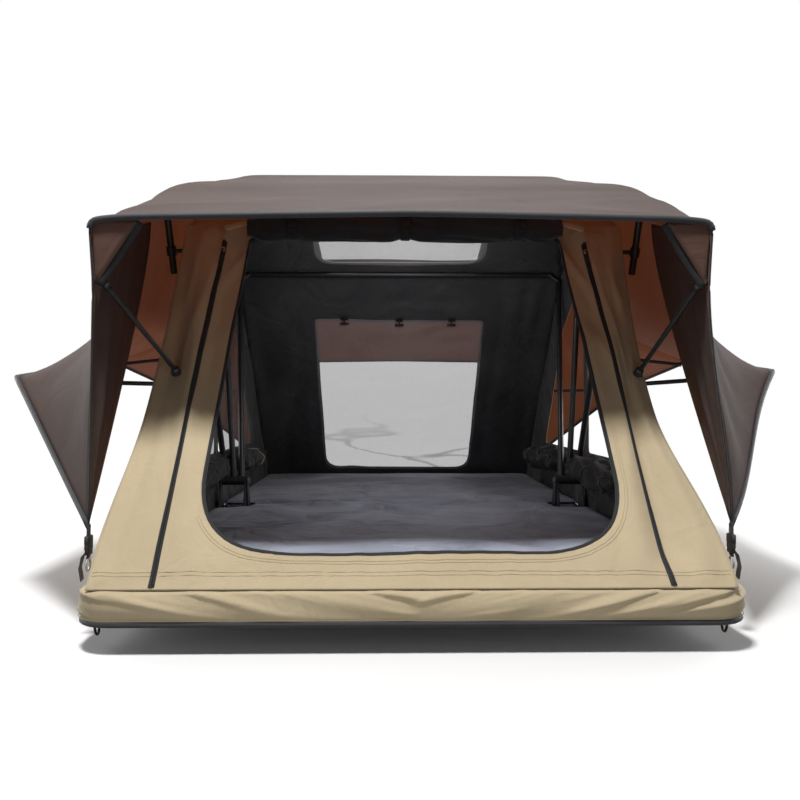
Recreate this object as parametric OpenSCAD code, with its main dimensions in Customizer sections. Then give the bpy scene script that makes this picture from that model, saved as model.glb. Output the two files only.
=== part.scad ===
// Fold-out roof top tent, opened for camping.
// The origin lies under the hinge line in the middle of the base, level with the underside of the
// mounting rails. The door faces -Y, X runs across the tent and Z is up.

/* [Base] */
// Distance of the edge of the base from the side walls of the tent body
body_inset = 21; // [18:1:40]
// Length of each half of the base, from the hinge line to its outer end
base_half_l = 1150; // [1050:10:1250]
// Half of the gap between the two halves at the hinge line
base_gap = 2; // [1:0.5:4]
// Radius of the outer corners in plan
corner_r = 50; // [40:5:80]
// Thickness of the floor panels
panel_t = 20; // [14:1:28]
// Width of the edge frame's section
frame_w = 20; // [16:1:22]
// Height of the edge frame's section
frame_h = 64; // [56:1:66]
// Height of the cloth skirt round the base
skirt_h = 67; // [67:1:75]
// Thickness of the skirt
skirt_t = 3; // [2:0.5:4]
// Diameter of the piping along the skirt's lower edge
piping_d = 10; // [6:1:14]

/* [Mounting rails] */
// Height of the rails
rail_h = 40; // [34:1:50]
// Width of the rails
rail_w = 50; // [40:1:60]
// Wall of the rails
rail_wall = 4; // [3:0.5:5]
// Width of the slot that the roof bar clamps run in
rail_slot_w = 12; // [9:0.5:14]
// Distance of each rail from the middle of the tent
rail_x = 350; // [250:5:400]
// Length of the rails
rail_l = 1040; // [800:10:1080]
// Distance of the rails from the hinge line
rail_start_y = 50; // [20:5:60]
// Diameter of the bolts in the rails and the hinge brackets
bolt_d = 8; // [6:1:10]
// Distance of the outer rail bolts from the ends of the rails
bolt_end = 90; // [60:5:150]

/* [Hinge] */
// Height of the hinge line
pivot_z = 200; // [195:1:230]
// Diameter of the hinge pins
pin_d = 12; // [8:1:14]
// Diameter of the eyes round the hinge pins
eye_d = 30; // [24:1:36]
// Thickness of the bracket ears and feet
ear_t = 4; // [3:0.5:6]
// Length of the bracket feet along the base
foot_l = 66; // [50:1:80]
// Distance of the bracket feet from the hinge line
foot_gap = 6; // [4:1:12]
// Distance of the outer ears from the edge of the base
bracket_inset = 31; // [30:1:45]

/* [Mattress] */
// Thickness of the mattress at its crown
mattress_t = 76; // [60:1:78]
// Gap between the mattress and the edge frame
mattress_gap = 4; // [2:1:10]
// How far the sides are drawn in between the corners
mattress_draw = 6; // [2:1:12]
// How far the top falls from the crown to the edges
mattress_crown = 12; // [6:1:20]
// How far the corners are drawn in
mattress_corner = 10; // [8:1:16]

/* [Bows] */
// Diameter of the bow tubes
bow_d = 19; // [15:0.5:19]
// Diameter of the sleeves on the bow ends
sleeve_d = 22; // [21.5:0.5:22.5]
// Length of the sleeves on the bow ends
sleeve_l = 64; // [50:1:90]
// Width of each bow's eye
eye_w = 24.5; // [24:0.5:27]
// Distance of the bow tops from the side walls
bow_side_gap = 14; // [13:1:16]
// Lean of the front bow towards the door
front_lean = 26.7; // [24:0.1:30]
// Length of the front bow from the hinge
front_len = 823; // [780:1:860]
// Length of the centre bow from the hinge
centre_len = 975; // [930:1:1000]
// Lean of the rear bow away from the door
rear_lean = 26.7; // [24:0.1:30]
// Length of the rear bow from the hinge
rear_len = 815; // [780:1:860]
// Width of the slope at the centre bow's corners
shoulder_w = 85; // [60:1:110]
// Height of the slope at the centre bow's corners
shoulder_h = 135; // [100:1:160]
// Width and height of the slope at the other bows' corners
corner_slope = 30; // [20:1:60]

/* [Awning bow] */
// Distance of the awning bow's legs from the edge of the base
awning_bow_out = 35; // [20:1:40]
// Distance of the awning bow's top beyond the front bow
awning_bow_over = 113; // [80:1:160]
// Distance of the awning bow's lower ends below the front bow's top
awning_bow_drop = 123; // [93:1:133]
// Distance of the awning bow's clips below the front bow's top
clip_drop = 58; // [48:1:78]
// Diameter of the awning bow's clips
clip_d = 12; // [8:1:14]

/* [Tent body] */
// Distance of the side walls' inner faces from the middle of the tent
body_half_w = 604; // [560:1:780]
// Thickness of the tent body's cloth
body_t = 3; // [2:0.5:4]
// Distance of the door opening from the side walls
door_in = 179; // [164:1:254]
// Distance of the door opening from the skirt, up the slope
door_low = 75; // [40:5:140]
// Distance of the door opening's top from the skirt, up the slope
door_top = 1085; // [900:5:1100]
// Radius of the door opening's lower corners
door_r = 190; // [80:5:240]
// Width of the dark binding round the door
binding_w = 14; // [8:1:20]
// Distance of the zips from the side walls
zip_in = 118; // [84:1:134]
// Width of the zips
zip_w = 16; // [10:1:24]
// Length of the zips up the slope
zip_l = 1040; // [900:5:1060]
// Distance of the zip sliders from the skirt, up the slope, at rest
slider_at = 1000; // [880:5:1020]
// Diameter of the rolled-up door
roll_d = 74; // [50:1:80]
// Width of the rear window
rear_window_w = 650; // [500:10:800]
// Distance of the rear window from the rear bow, down the slope
rear_window_top = 235; // [150:5:300]
// Length of the rear window down the slope
rear_window_l = 840; // [600:5:860]
// Width of the skylight
skylight_w = 600; // [400:10:640]
// Distance of the skylight from the ridge, down the slope
skylight_top = 150; // [120:5:200]
// Length of the skylight down the slope
skylight_l = 245; // [150:5:255]
// Radius of the lower corners of the rear window and the skylight
window_r = 70; // [40:5:100]
// Height of the side windows' sills
sill_z = 290; // [260:5:340]
// Distance of the side windows' outer lower corners from the hinge line
side_window_low_y = 680; // [500:5:720]
// Distance of the side windows' outer upper corners from the hinge line
side_window_top_y = 350; // [250:5:380]
// Height of the side windows' outer upper corners
side_window_top_z = 720; // [600:5:740]
// Height of the side windows at the hinge line
side_window_mid_z = 880; // [760:5:920]
// Distance of the side windows from the hinge line
side_window_gap = 30; // [30:1:60]
// Diameter of the rolled flaps under the side windows
flap_d = 60; // [40:1:70]
// Margin of the mesh round its window
mesh_lap = 15; // [8:1:20]
// Thickness of the mesh
mesh_t = 1.2; // [0.8:0.1:2]

/* [Fly sheet] */
// Thickness of the fly sheet
fly_t = 4; // [2:0.5:5]
// Distance of the front edge from the front end of the base
fly_front_in = 113; // [90:1:150]
// Height of the front edge in the middle
fly_front_z = 832; // [800:1:860]
// Distance of the corners from the edge of the base
fly_corner_out = 15; // [11:1:55]
// Height of the front corners
fly_corner_z = 815; // [790:1:840]
// Height of the bend in the front corner seams
fly_bend_z = 689; // [660:1:720]
// Height of the tie points
tie_z = 209; // [190:1:240]
// Distance of the rear edge from the rear end of the base
fly_rear_in = 40; // [10:1:90]
// Height of the rear edge
fly_rear_z = 650; // [620:1:700]
// Distance of the side awnings' outer edges from the edge of the base
awning_out = 310; // [225:1:375]
// Height of the side awnings' corners
awning_corner_z = 515; // [480:1:560]
// Distance of the side awnings' corners from the hinge line
awning_corner_y = 700; // [600:1:760]
// Height of the side awnings' edges at the hinge line
awning_mid_z = 590; // [560:1:620]
// Depth of the hanging folds in the side awnings
fold_depth = 9; // [2:1:16]
// Diameter of the piping round the fly sheet
fly_piping_d = 8; // [5:1:10]

/* [Rods and ties] */
// Diameter of the awning rods
rod_d = 11; // [8:1:13]
// Diameter of the rod sockets
socket_d = 28; // [22:1:29]
// Height of the rod sockets
socket_h = 14; // [10:1:20]
// Distance of the front wall's rod sockets from the side walls
socket_in = 72; // [44:1:84]
// Height of the front rods
front_rod_z = 511; // [490:1:540]
// Height of the middle side rods
mid_rod_z = 612; // [590:1:640]
// Width of the tie straps' webbing
webbing_w = 25; // [15:1:30]
// Thickness of the webbing
webbing_t = 2; // [1.5:0.5:3]
// Height of the tie straps' hooks
hook_z = 132; // [125:1:150]
// Diameter of the corner cords
cord_d = 5; // [4:0.5:6]
// Height of the tie straps' buckles
buckle_h = 40; // [30:1:42]

/* [Hidden] */
$fn = 48;
fit = 0.3;
run_fit = 0.05;
lay = 0.5;
past = 1;
elbow_swell = 3;
seam_turn = 35;
bow_cover = bow_d / 2 + elbow_swell + 1;
base_z = rail_h;
floor_z = base_z + panel_t;
skirt_top = base_z + skirt_h;
half_w = body_half_w + body_inset;
base_w = 2 * half_w;
bow_top_x = body_half_w - bow_side_gap;
awning_bow_x = half_w + awning_bow_out;
awning_bow_len = front_len + awning_bow_over;
awning_bow_low = front_len - awning_bow_drop;
clip_at = front_len - clip_drop;
door_w = 2 * (body_half_w - door_in);
zip_x = body_half_w - zip_in;
fly_corner_x = half_w + fly_corner_out;
awning_x = half_w + awning_out;
fly_front_y = base_half_l - fly_front_in;
fly_rear_y = base_half_l - fly_rear_in;
socket_x = body_half_w - socket_in;
frame_in = skirt_t + fit;
panel_in = frame_in + frame_w + fit;
cord_inset = 22;
rod_clear = 1.6;

// Places of the hinge parts across the tent, from the outside inwards
rear_outer_x = half_w - bracket_inset - ear_t;
front_outer_x = rear_outer_x - lay - ear_t;
front_eye_x = front_outer_x - lay - eye_w / 2;
centre_eye_x = front_eye_x - lay - eye_w;
rear_eye_x = centre_eye_x - lay - eye_w;
front_inner_x = rear_eye_x - eye_w / 2 - lay - ear_t;
rear_inner_x = front_inner_x - lay - ear_t;
bracket_w = rear_outer_x + ear_t - rear_inner_x;
notch_x = rear_inner_x - 12;
notch_y = foot_gap + foot_l + 8;

// The tent body's inner profile, each point as distance along Y and height
wall_foot = [-(base_half_l - skirt_t), skirt_top];
front_top = [-sin(front_lean), cos(front_lean)] * (front_len + bow_cover) + [0, pivot_z];
ridge = [0, pivot_z + centre_len + bow_cover];
rear_top = [sin(rear_lean), cos(rear_lean)] * (rear_len + bow_cover) + [0, pivot_z];
rear_foot = [base_half_l - skirt_t, skirt_top];
profile = [wall_foot, front_top, ridge, rear_top, rear_foot];
front_wall_l = norm(front_top - wall_foot);
body_ridge_z = ridge[1] + body_t;

// The fly sheet's cross-sections from front to rear: hem, knee, eave, shoulder and middle
knee_x = awning_bow_x + 32;
knee_z = 655;
crest_y = sin(front_lean) * awning_bow_len;
crest_z = pivot_z + cos(front_lean) * awning_bow_len + bow_cover + fly_t;
awning_rise = (awning_mid_z - awning_corner_z) / awning_corner_y;
fly_ridge_z = body_ridge_z + lay + fly_t;
corner_roof_z = fly_front_z
    + (crest_z - fly_front_z) * (fly_front_y - awning_corner_y) / (fly_front_y - crest_y);
fly_edge_row = [
    [fly_corner_x, -fly_front_y, tie_z],
    [fly_corner_x - 8, -fly_front_y, fly_bend_z],
    [fly_corner_x, -fly_front_y, fly_corner_z],
    [fly_corner_x - 70, -fly_front_y, fly_corner_z + 7],
    [0, -fly_front_y, fly_front_z]];
fly_corner_row = [
    [awning_x, -awning_corner_y, awning_corner_z],
    [knee_x, -awning_corner_y, knee_z],
    [awning_bow_x + 10, -awning_corner_y, corner_roof_z - 35],
    [awning_bow_x - 50, -awning_corner_y, corner_roof_z - 6],
    [0, -awning_corner_y, corner_roof_z]];
fly_crest_row = [
    [awning_x, -crest_y, awning_corner_z + awning_rise * (awning_corner_y - crest_y)],
    [knee_x + 6, -crest_y, knee_z + 15],
    [awning_bow_x + 24, -crest_y, crest_z - 38],
    [awning_bow_x - 44, -crest_y, crest_z],
    [0, -crest_y, crest_z + 2]];
fly_ridge_row = [
    [awning_x, -lay, awning_mid_z],
    [knee_x + 4, -lay, knee_z + 40],
    [body_half_w + body_t + fly_t + 12, -lay, ridge[1] - shoulder_h + 12],
    [body_half_w + body_t + fly_t + 12 - shoulder_w, -lay, fly_ridge_z],
    [0, -lay, fly_ridge_z + 1]];
rear_crest_y = rear_top[0] + 30;
rear_crest_z = rear_top[1] + 40;
fly_rear_crest_row = [
    [awning_x, rear_crest_y, awning_corner_z + awning_rise * (awning_corner_y - rear_crest_y)],
    [knee_x + 4, rear_crest_y, knee_z + 15],
    [body_half_w + body_t + fly_t + 16, rear_crest_y, rear_crest_z - 60],
    [body_half_w + body_t + fly_t + 12 - corner_slope, rear_crest_y, rear_crest_z],
    [0, rear_crest_y, rear_crest_z + 2]];
// Where the sloping roof reaches the top of the side walls behind the ridge
rear_eave_y = rear_top[0] * shoulder_h / (ridge[1] - rear_top[1]);
fly_rear_eave_row = [
    [awning_x, rear_eave_y, mix(awning_mid_z, awning_corner_z, rear_eave_y / awning_corner_y)],
    [knee_x + 4, rear_eave_y, knee_z + 28],
    [body_half_w + body_t + fly_t + 20, rear_eave_y, ridge[1] - shoulder_h - 30],
    [body_half_w + body_t + fly_t + 8, rear_eave_y, ridge[1] - shoulder_h + body_t + fly_t + 12],
    [0, rear_eave_y, ridge[1] - shoulder_h + body_t + fly_t + 14]];
rear_corner_roof_z = fly_rear_z
    + (rear_crest_z - fly_rear_z) * (fly_rear_y - awning_corner_y) / (fly_rear_y - rear_crest_y);
fly_rear_corner_row = [
    [awning_x, awning_corner_y, awning_corner_z],
    [knee_x - 4, awning_corner_y, knee_z],
    [fly_corner_x + 8, awning_corner_y, rear_corner_roof_z - 30],
    [fly_corner_x - 60, awning_corner_y, rear_corner_roof_z - 4],
    [0, awning_corner_y, rear_corner_roof_z]];
fly_rear_row = [
    [fly_corner_x, fly_rear_y, tie_z],
    [fly_corner_x - 8, fly_rear_y, (tie_z + fly_rear_z) / 2],
    [fly_corner_x, fly_rear_y, fly_rear_z - 18],
    [fly_corner_x - 70, fly_rear_y, fly_rear_z - 8],
    [0, fly_rear_y, fly_rear_z]];
front_rows = [fly_edge_row, fly_corner_row, fly_crest_row, fly_ridge_row];
rear_rows = [for (row = [fly_ridge_row, fly_rear_eave_row, fly_rear_crest_row, fly_rear_corner_row,
    fly_rear_row])
    [for (p = row) [p[0], abs(p[1]), p[2]]]];
row_steps = 4;
span_steps = 3;

// The corner cords hang from the underside of the base in loops
cord_route = [
    [0, -11, 0], [0, -11, -6], [0, -11.5, -12], [0, -11.5, -18], [0, -10.5, -24], [0, -7.5, -29],
    [0, -3, -32], [0, 3, -32], [0, 7.5, -29], [0, 10.5, -24], [0, 11.5, -18], [0, 11.5, -12],
    [0, 11, -6], [0, 11, 0]];

function mix(a, b, u) = a + (b - a) * u;
function unit(v) = v / norm(v);
function flip_x(p) = [-p[0], p[1], p[2]];
function left_normal(a, b) = let (d = unit(b - a)) [-d[1], d[0]];

// A point of the tent body's profile, moved outwards by a wall of thickness t
function grown(i, t) = let (
    last = len(profile) - 1,
    before = left_normal(profile[max(i - 1, 0)], profile[max(i, 1)]),
    after = left_normal(profile[min(i, last - 1)], profile[min(i + 1, last)]))
    profile[i] + t * (before + after) / (1 + before * after);

// A point on a bow: side of the tent, place of its eye, distance from the hinge and lean
function bow_point(side, eye_x, top_x, reach, straight, lean) =
    [side * mix(eye_x, top_x, reach / straight), sin(lean) * reach, pivot_z + cos(lean) * reach];

module bar(p, q, d) {
    v = q - p;
    translate(p)
        rotate([0, acos(v[2] / norm(v)), atan2(v[1], v[0])])
            rotate([0, 0, seam_turn]) cylinder(d = d, h = norm(v));
}

// Bars end to end, with elbows a little stouter than the bars
module chain(points, d) {
    for (i = [0:len(points) - 2]) bar(points[i], points[i + 1], d);
    for (i = [1:len(points) - 2]) translate(points[i]) sphere(d = d + elbow_swell);
}

// A bar with round ends
module capsule(p, q, d) {
    bar(p, q, d);
    for (end = [p, q]) translate(end) sphere(d = d);
}

// A round tube swept along a route, with one ring of corners at each point
module tube(route, d, across) {
    sides = 8;
    last = len(route) - 1;
    rings = [for (i = [0:last]) let (
        t = unit(route[min(i + 1, last)] - route[max(i - 1, 0)]),
        u = unit(across - (across * t) * t),
        v = cross(u, t))
        for (k = [0:sides - 1]) route[i] + d / 2 * (u * cos(360 * k / sides) + v * sin(360 * k / sides))];
    polyhedron(rings, concat(
        [[for (k = [0:sides - 1]) k]], [[for (k = [sides - 1:-1:0]) last * sides + k]],
        [for (i = [0:last - 1]) for (k = [0:sides - 1]) let (n = (k + 1) % sides)
            [i * sides + k, (i + 1) * sides + k, (i + 1) * sides + n]],
        [for (i = [0:last - 1]) for (k = [0:sides - 1]) let (n = (k + 1) % sides)
            [i * sides + k, (i + 1) * sides + n, i * sides + n]]));
}

module strap(p, q, w, t) {
    v = q - p;
    translate(p)
        rotate([0, acos(v[2] / norm(v)), atan2(v[1], v[0])])
            translate([-t / 2, -w / 2, 0]) cube([t, w, norm(v)]);
}

module both_sides() {
    children();
    mirror([1, 0, 0]) children();
}

// Plan of the front half of the base, drawn in from the outer edge
module half_plan(inset, hinge_y = -base_gap) {
    w = half_w - inset;
    end = base_half_l - inset;
    r = max(corner_r - inset, 1);
    translate([-w, -(end - r)]) square([2 * w, end - r + hinge_y]);
    translate([-(w - r), -end]) square([2 * (w - r), 2 * r]);
    for (side = [-1, 1]) translate([side * (w - r), -(end - r)]) circle(r);
}

module half_ring(outer, inner) {
    difference() {
        half_plan(outer);
        half_plan(inner, past);
    }
}

module floor_panel() {
    translate([0, 0, base_z]) linear_extrude(panel_t) half_plan(panel_in);
}

module edge_frame() {
    translate([0, 0, base_z]) linear_extrude(frame_h) half_ring(frame_in, frame_in + frame_w);
}

module skirt() {
    translate([0, 0, base_z]) linear_extrude(skirt_h - fit) half_ring(0, skirt_t);
}

// Piping that runs round three sides of a half, against the foot of the skirt
module skirt_piping() {
    out = piping_d / 2 + fit;
    bend = corner_r + out;
    right = concat([[half_w + out, -base_gap, 0]], [for (a = [0:15:90])
        [half_w - corner_r + bend * cos(a), -(base_half_l - corner_r) - bend * sin(a), 0]]);
    route = concat(right, [for (i = [len(right) - 1:-1:0]) flip_x(right[i])]);
    translate([0, 0, base_z + piping_d / 2]) tube(route, piping_d, [0, 0, 1]);
}

rail_bolt_places = [for (side = [-1, 1]) for (y = [bolt_end, rail_l / 2, rail_l - bolt_end])
    [side * rail_x, rail_start_y + y]];
bracket_bolt_places = [for (side = [-1, 1]) for (u = [0.35, 0.65])
    [side * mix(rear_inner_x, rear_outer_x + ear_t, u), foot_gap + foot_l / 2]];
head_d = 2 * bolt_d;
head_h = 0.6 * bolt_d;
bolt_hole_d = bolt_d + 2 * fit;

module rear_floor_panel() {
    color("tan") difference() {
        mirror([0, 1, 0]) floor_panel();
        for (p = rail_bolt_places) translate([p[0], p[1], base_z]) {
            translate([0, 0, -past]) cylinder(d = bolt_hole_d, h = panel_t + 2 * past);
            translate([0, 0, panel_t - head_h - fit]) cylinder(d = head_d + 2 * fit, h = panel_t);
        }
        for (p = bracket_bolt_places) translate([p[0], p[1], base_z + panel_t / 4])
            cylinder(d = bolt_hole_d, h = panel_t);
    }
}

module front_floor_panel() {
    color("tan") difference() {
        floor_panel();
        for (p = bracket_bolt_places) translate([p[0], -p[1], base_z + panel_t / 4])
            cylinder(d = bolt_hole_d, h = panel_t);
    }
}

module rear_edge_frame() {
    color("dimgray") mirror([0, 1, 0]) edge_frame();
}

module front_edge_frame() {
    color("dimgray") edge_frame();
}

module rail_profile() {
    difference() {
        translate([-rail_w / 2, 0]) square([rail_w, rail_h]);
        translate([-rail_w / 2 + rail_wall, rail_wall])
            square([rail_w - 2 * rail_wall, rail_h - 2 * rail_wall]);
        translate([-rail_slot_w / 2, -past]) square([rail_slot_w, rail_wall + 2 * past]);
    }
}

module mounting_rails() {
    color("silver") difference() {
        for (side = [-1, 1]) translate([side * rail_x, rail_start_y + rail_l, 0])
            rotate([90, 0, 0]) linear_extrude(rail_l) rail_profile();
        for (p = rail_bolt_places) translate([p[0], p[1], rail_h - rail_wall - past])
            cylinder(d = bolt_hole_d, h = rail_wall + 2 * past);
    }
}

// Flat-headed bolts through the floor panel, each with its nut under the rail's upper wall
module rail_bolts() {
    nut_top = rail_h - rail_wall;
    color("gray") for (p = rail_bolt_places) translate([p[0], p[1], 0]) {
        translate([0, 0, floor_z - head_h - fit]) cylinder(d = head_d, h = head_h);
        translate([0, 0, nut_top - 1.2 * bolt_d]) cylinder(d = bolt_d, h = floor_z - nut_top + bolt_d);
        translate([0, 0, nut_top - 0.8 * bolt_d]) cylinder(d = 1.8 * bolt_d, h = 0.8 * bolt_d, $fn = 6);
    }
}

module ear(x) {
    translate([x, 0, 0]) rotate([90, 0, 90]) linear_extrude(ear_t) {
        polygon([[foot_gap, floor_z], [foot_gap + foot_l, floor_z], [eye_d / 2, pivot_z],
            [-eye_d / 2, pivot_z]]);
        translate([0, pivot_z]) circle(d = eye_d);
    }
}

// A pair of ears on a foot for each side of the tent, with bores for the hinge pin
module hinge_brackets(outer_x, inner_x, bore_d) {
    both_sides() difference() {
        union() {
            ear(outer_x);
            ear(inner_x);
            translate([inner_x, foot_gap, floor_z]) cube([outer_x + ear_t - inner_x, foot_l, ear_t]);
        }
        translate([inner_x - past, 0, pivot_z]) rotate([0, 90, 0]) cylinder(d = bore_d, h = 2 * bracket_w);
        for (p = bracket_bolt_places) translate([abs(p[0]), p[1], floor_z - past])
            cylinder(d = bolt_hole_d, h = ear_t + 2 * past);
    }
}

module rear_hinge_brackets() {
    color("dimgray") hinge_brackets(rear_outer_x, rear_inner_x, pin_d + 2 * run_fit);
}

module front_hinge_brackets() {
    color("dimgray") mirror([0, 1, 0]) hinge_brackets(front_outer_x, front_inner_x, pin_d + 2 * run_fit);
}

module bracket_bolts() {
    for (p = bracket_bolt_places) translate([p[0], p[1], floor_z + ear_t]) {
        cylinder(d = 1.8 * bolt_d, h = head_h, $fn = 6);
        translate([0, 0, -ear_t - panel_t / 2]) cylinder(d = bolt_d, h = ear_t + panel_t / 2 + head_h / 2);
    }
}

module rear_bracket_bolts() {
    color("gray") bracket_bolts();
}

module front_bracket_bolts() {
    color("gray") mirror([0, 1, 0]) bracket_bolts();
}

// A headed pin on each side, through all the ears and eyes
module hinge_pins() {
    outer = rear_outer_x + ear_t;
    color("silver") both_sides() translate([0, 0, pivot_z]) {
        bar([rear_inner_x - ear_t, 0, 0], [outer + lay, 0, 0], pin_d);
        bar([outer + lay, 0, 0], [outer + lay + ear_t, 0, 0], 1.6 * pin_d);
        bar([rear_inner_x - lay - ear_t, 0, 0], [rear_inner_x - lay, 0, 0], 1.4 * pin_d);
    }
}

// A mattress half, crowned on top, with its sides drawn in between the corners
module mattress_half() {
    steps = 16;
    w = half_w - panel_in - mattress_gap;
    low_y = base_half_l - panel_in - mattress_gap;
    mid_y = -(low_y + base_gap + mattress_gap) / 2;
    half_l = (low_y - base_gap - mattress_gap) / 2;
    bulge = [for (i = [0:steps]) let (a = 2 * i / steps - 1) sign(a) * (1 - pow(1 - abs(a), 1.6))];
    top = [for (v = bulge) for (u = bulge) let (draw = mattress_corner * pow(abs(u * v), 20))
        [u * (w - mattress_draw * (1 - v * v) - draw),
            mid_y + v * (half_l - mattress_draw * (1 - u * u) - draw),
            floor_z + mattress_t - mattress_crown * (pow(abs(u), 6) + pow(abs(v), 6)) / 2 - 2 * fit]];
    low = [for (p = top) [p[0], p[1], floor_z + fit]];
    side = steps + 1;
    count = side * side;
    rim = concat([for (i = [0:steps - 1]) i], [for (j = [0:steps - 1]) j * side + steps],
        [for (i = [0:steps - 1]) count - 1 - i], [for (j = [0:steps - 1]) (steps - j) * side]);
    quads = [for (j = [0:steps - 1]) for (i = [0:steps - 1]) j * side + i];
    faces = concat(
        [for (q = quads) [q, q + side, q + 1]], [for (q = quads) [q + 1, q + side, q + side + 1]],
        [for (q = quads) [count + q, count + q + 1, count + q + side]],
        [for (q = quads) [count + q + 1, count + q + side + 1, count + q + side]],
        [for (k = [0:len(rim) - 1]) [rim[k], rim[(k + 1) % len(rim)], count + rim[k]]],
        [for (k = [0:len(rim) - 1])
            [rim[(k + 1) % len(rim)], count + rim[(k + 1) % len(rim)], count + rim[k]]]);
    difference() {
        polyhedron(concat(top, low), faces);
        both_sides() translate([notch_x, -notch_y, base_z]) cube([half_w, 2 * notch_y, pivot_z]);
    }
}

module rear_mattress() {
    color("slategray") mirror([0, 1, 0]) mattress_half();
}

module front_mattress() {
    color("slategray") mattress_half();
}

module rear_skirt() {
    color("burlywood") mirror([0, 1, 0]) skirt();
}

module front_skirt() {
    color("burlywood") skirt();
}

module rear_skirt_piping() {
    color("dimgray") mirror([0, 1, 0]) skirt_piping();
}

module front_skirt_piping() {
    color("dimgray") skirt_piping();
}

module corner_cords() {
    color("black") both_sides()
        translate([half_w - frame_in - frame_w / 2, -(base_half_l - corner_r - cord_inset), base_z])
            tube(cord_route, cord_d, [1, 0, 0]);
}

// The tent body as one solid, with its walls grown outwards by t
module body_solid(t, foot) {
    points = [for (i = [0:len(profile) - 1]) grown(i, t)];
    w = body_half_w + t;
    top = ridge[1] + t;
    intersection() {
        rotate([90, 0, 90]) translate([0, 0, -half_w]) linear_extrude(base_w)
            polygon(concat(points, [[points[4][0], foot], [points[0][0], foot]]));
        rotate([90, 0, 0]) linear_extrude(2 * base_half_l + 100, center = true)
            polygon([[-w, foot], [w, foot], [w, top - shoulder_h], [w - shoulder_w, top],
                [-(w - shoulder_w), top], [-w, top - shoulder_h]]);
    }
}

module body_shell() {
    difference() {
        body_solid(body_t, skirt_top + fit);
        body_solid(0, base_z);
    }
}

module front_half() {
    intersection() {
        children();
        translate([-half_w - past, -base_half_l - past, 0])
            cube([base_w + 2 * past, base_half_l + past - lay, ridge[1] + base_half_l]);
    }
}

// Draws on a sloping wall: X across, Y from point a towards point b, Z outwards
module on_slope(a, b) {
    translate([0, a[0], a[1]]) rotate([atan2(b[1] - a[1], b[0] - a[0]), 0, 0]) children();
}

module on_front_wall() {
    on_slope(wall_foot, front_top) children();
}

// An opening with round corners at its lower end, which is at y = low
module opening(w, low, high, r) {
    translate([-w / 2, min(low + sign(high - low) * r, high)]) square([w, abs(high - low) - r]);
    for (side = [-1, 1]) translate([side * (w / 2 - r), low + sign(high - low) * r]) circle(r);
    translate([-(w / 2 - r), min(low, low + sign(high - low) * 2 * r)]) square([w - 2 * r, 2 * r]);
}

module door_outline(grow = 0) {
    opening(door_w + 2 * grow, door_low - grow, door_top, door_r + grow);
}

// The side window in one half, drawn as distance along Y and height
module side_window_outline(grow = 0) {
    polygon([[side_window_gap - grow, sill_z - grow], [side_window_low_y + 2 * grow, sill_z - grow],
        [side_window_top_y + grow, side_window_top_z + grow],
        [side_window_gap - grow, side_window_mid_z + grow]]);
}

module clip_holes(lean) {
    p = bow_point(1, front_eye_x, bow_top_x, clip_at, front_len - corner_slope, lean);
    translate([-half_w, p[1], p[2]]) rotate([0, 90, 0]) cylinder(d = clip_d + 2, h = base_w);
}

module tent_body_front() {
    color("burlywood") difference() {
        front_half() body_shell();
        on_front_wall() translate([0, 0, -20]) linear_extrude(40) door_outline();
        mirror([0, 1, 0]) translate([-half_w, 0, 0])
            rotate([90, 0, 90]) linear_extrude(base_w) side_window_outline();
        clip_holes(-front_lean);
    }
}

module rear_window_outline(grow = 0) {
    foot = rear_window_top + rear_window_l;
    opening(rear_window_w + 2 * grow, foot + grow, rear_window_top - grow, window_r + grow);
}

module skylight_outline(grow = 0) {
    opening(skylight_w + 2 * grow, skylight_top + skylight_l + grow, skylight_top - grow, window_r + grow);
}

module tent_body_rear() {
    color("burlywood") difference() {
        mirror([0, 1, 0]) front_half() mirror([0, 1, 0]) body_shell();
        on_slope(rear_top, rear_foot) translate([0, 0, -20]) linear_extrude(40) rear_window_outline();
        on_slope(ridge, rear_top) translate([0, 0, -20]) linear_extrude(40) skylight_outline();
        translate([-half_w, 0, 0]) rotate([90, 0, 90]) linear_extrude(base_w) side_window_outline();
    }
}

module rear_window_mesh() {
    color("lightgray") on_slope(rear_top, rear_foot) translate([0, 0, -fit - mesh_t])
        linear_extrude(mesh_t) rear_window_outline(mesh_lap);
}

module skylight_mesh() {
    color("lightgray") on_slope(ridge, rear_top) translate([0, 0, -fit - mesh_t])
        linear_extrude(mesh_t) skylight_outline(mesh_lap);
}

module side_mesh() {
    translate([-body_half_w + fit, 0, 0])
        rotate([90, 0, 90]) linear_extrude(mesh_t) side_window_outline(mesh_lap);
}

module side_mesh_rear() {
    color("gray") side_mesh();
}

module side_mesh_front() {
    color("gray") mirror([0, 1, 0]) side_mesh();
}

// The window flaps rolled down along the sills, inside the walls
module side_flaps() {
    x = body_half_w - fit - flap_d / 2;
    y = notch_y + flap_d / 2;
    z = sill_z - mesh_lap - flap_d / 2;
    both_sides() capsule([x, y, z], [x, side_window_low_y - flap_d / 2, z], flap_d);
}

module side_flaps_rear() {
    color("black") side_flaps();
}

module side_flaps_front() {
    color("black") mirror([0, 1, 0]) side_flaps();
}

module door_binding() {
    color("dimgray") on_front_wall() translate([0, 0, body_t + fit]) linear_extrude(1.5) difference() {
        door_outline(binding_w);
        door_outline();
        translate([-door_w, door_top - past]) square([2 * door_w, 2 * past]);
    }
}

roll_place = [0, door_top - 5, body_t + roll_d / 2 + lay];

module door_roll() {
    reach = door_w / 2 - roll_d / 2;
    color("black") on_front_wall() translate(roll_place) rotate([0, 90, 0]) {
        cylinder(d = roll_d, h = 2 * reach, center = true);
        for (turn = [0, 180]) rotate([turn, 0, 0]) translate([0, 0, reach])
            cylinder(d1 = roll_d, d2 = roll_d / 2, h = roll_d / 2);
    }
}

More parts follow.
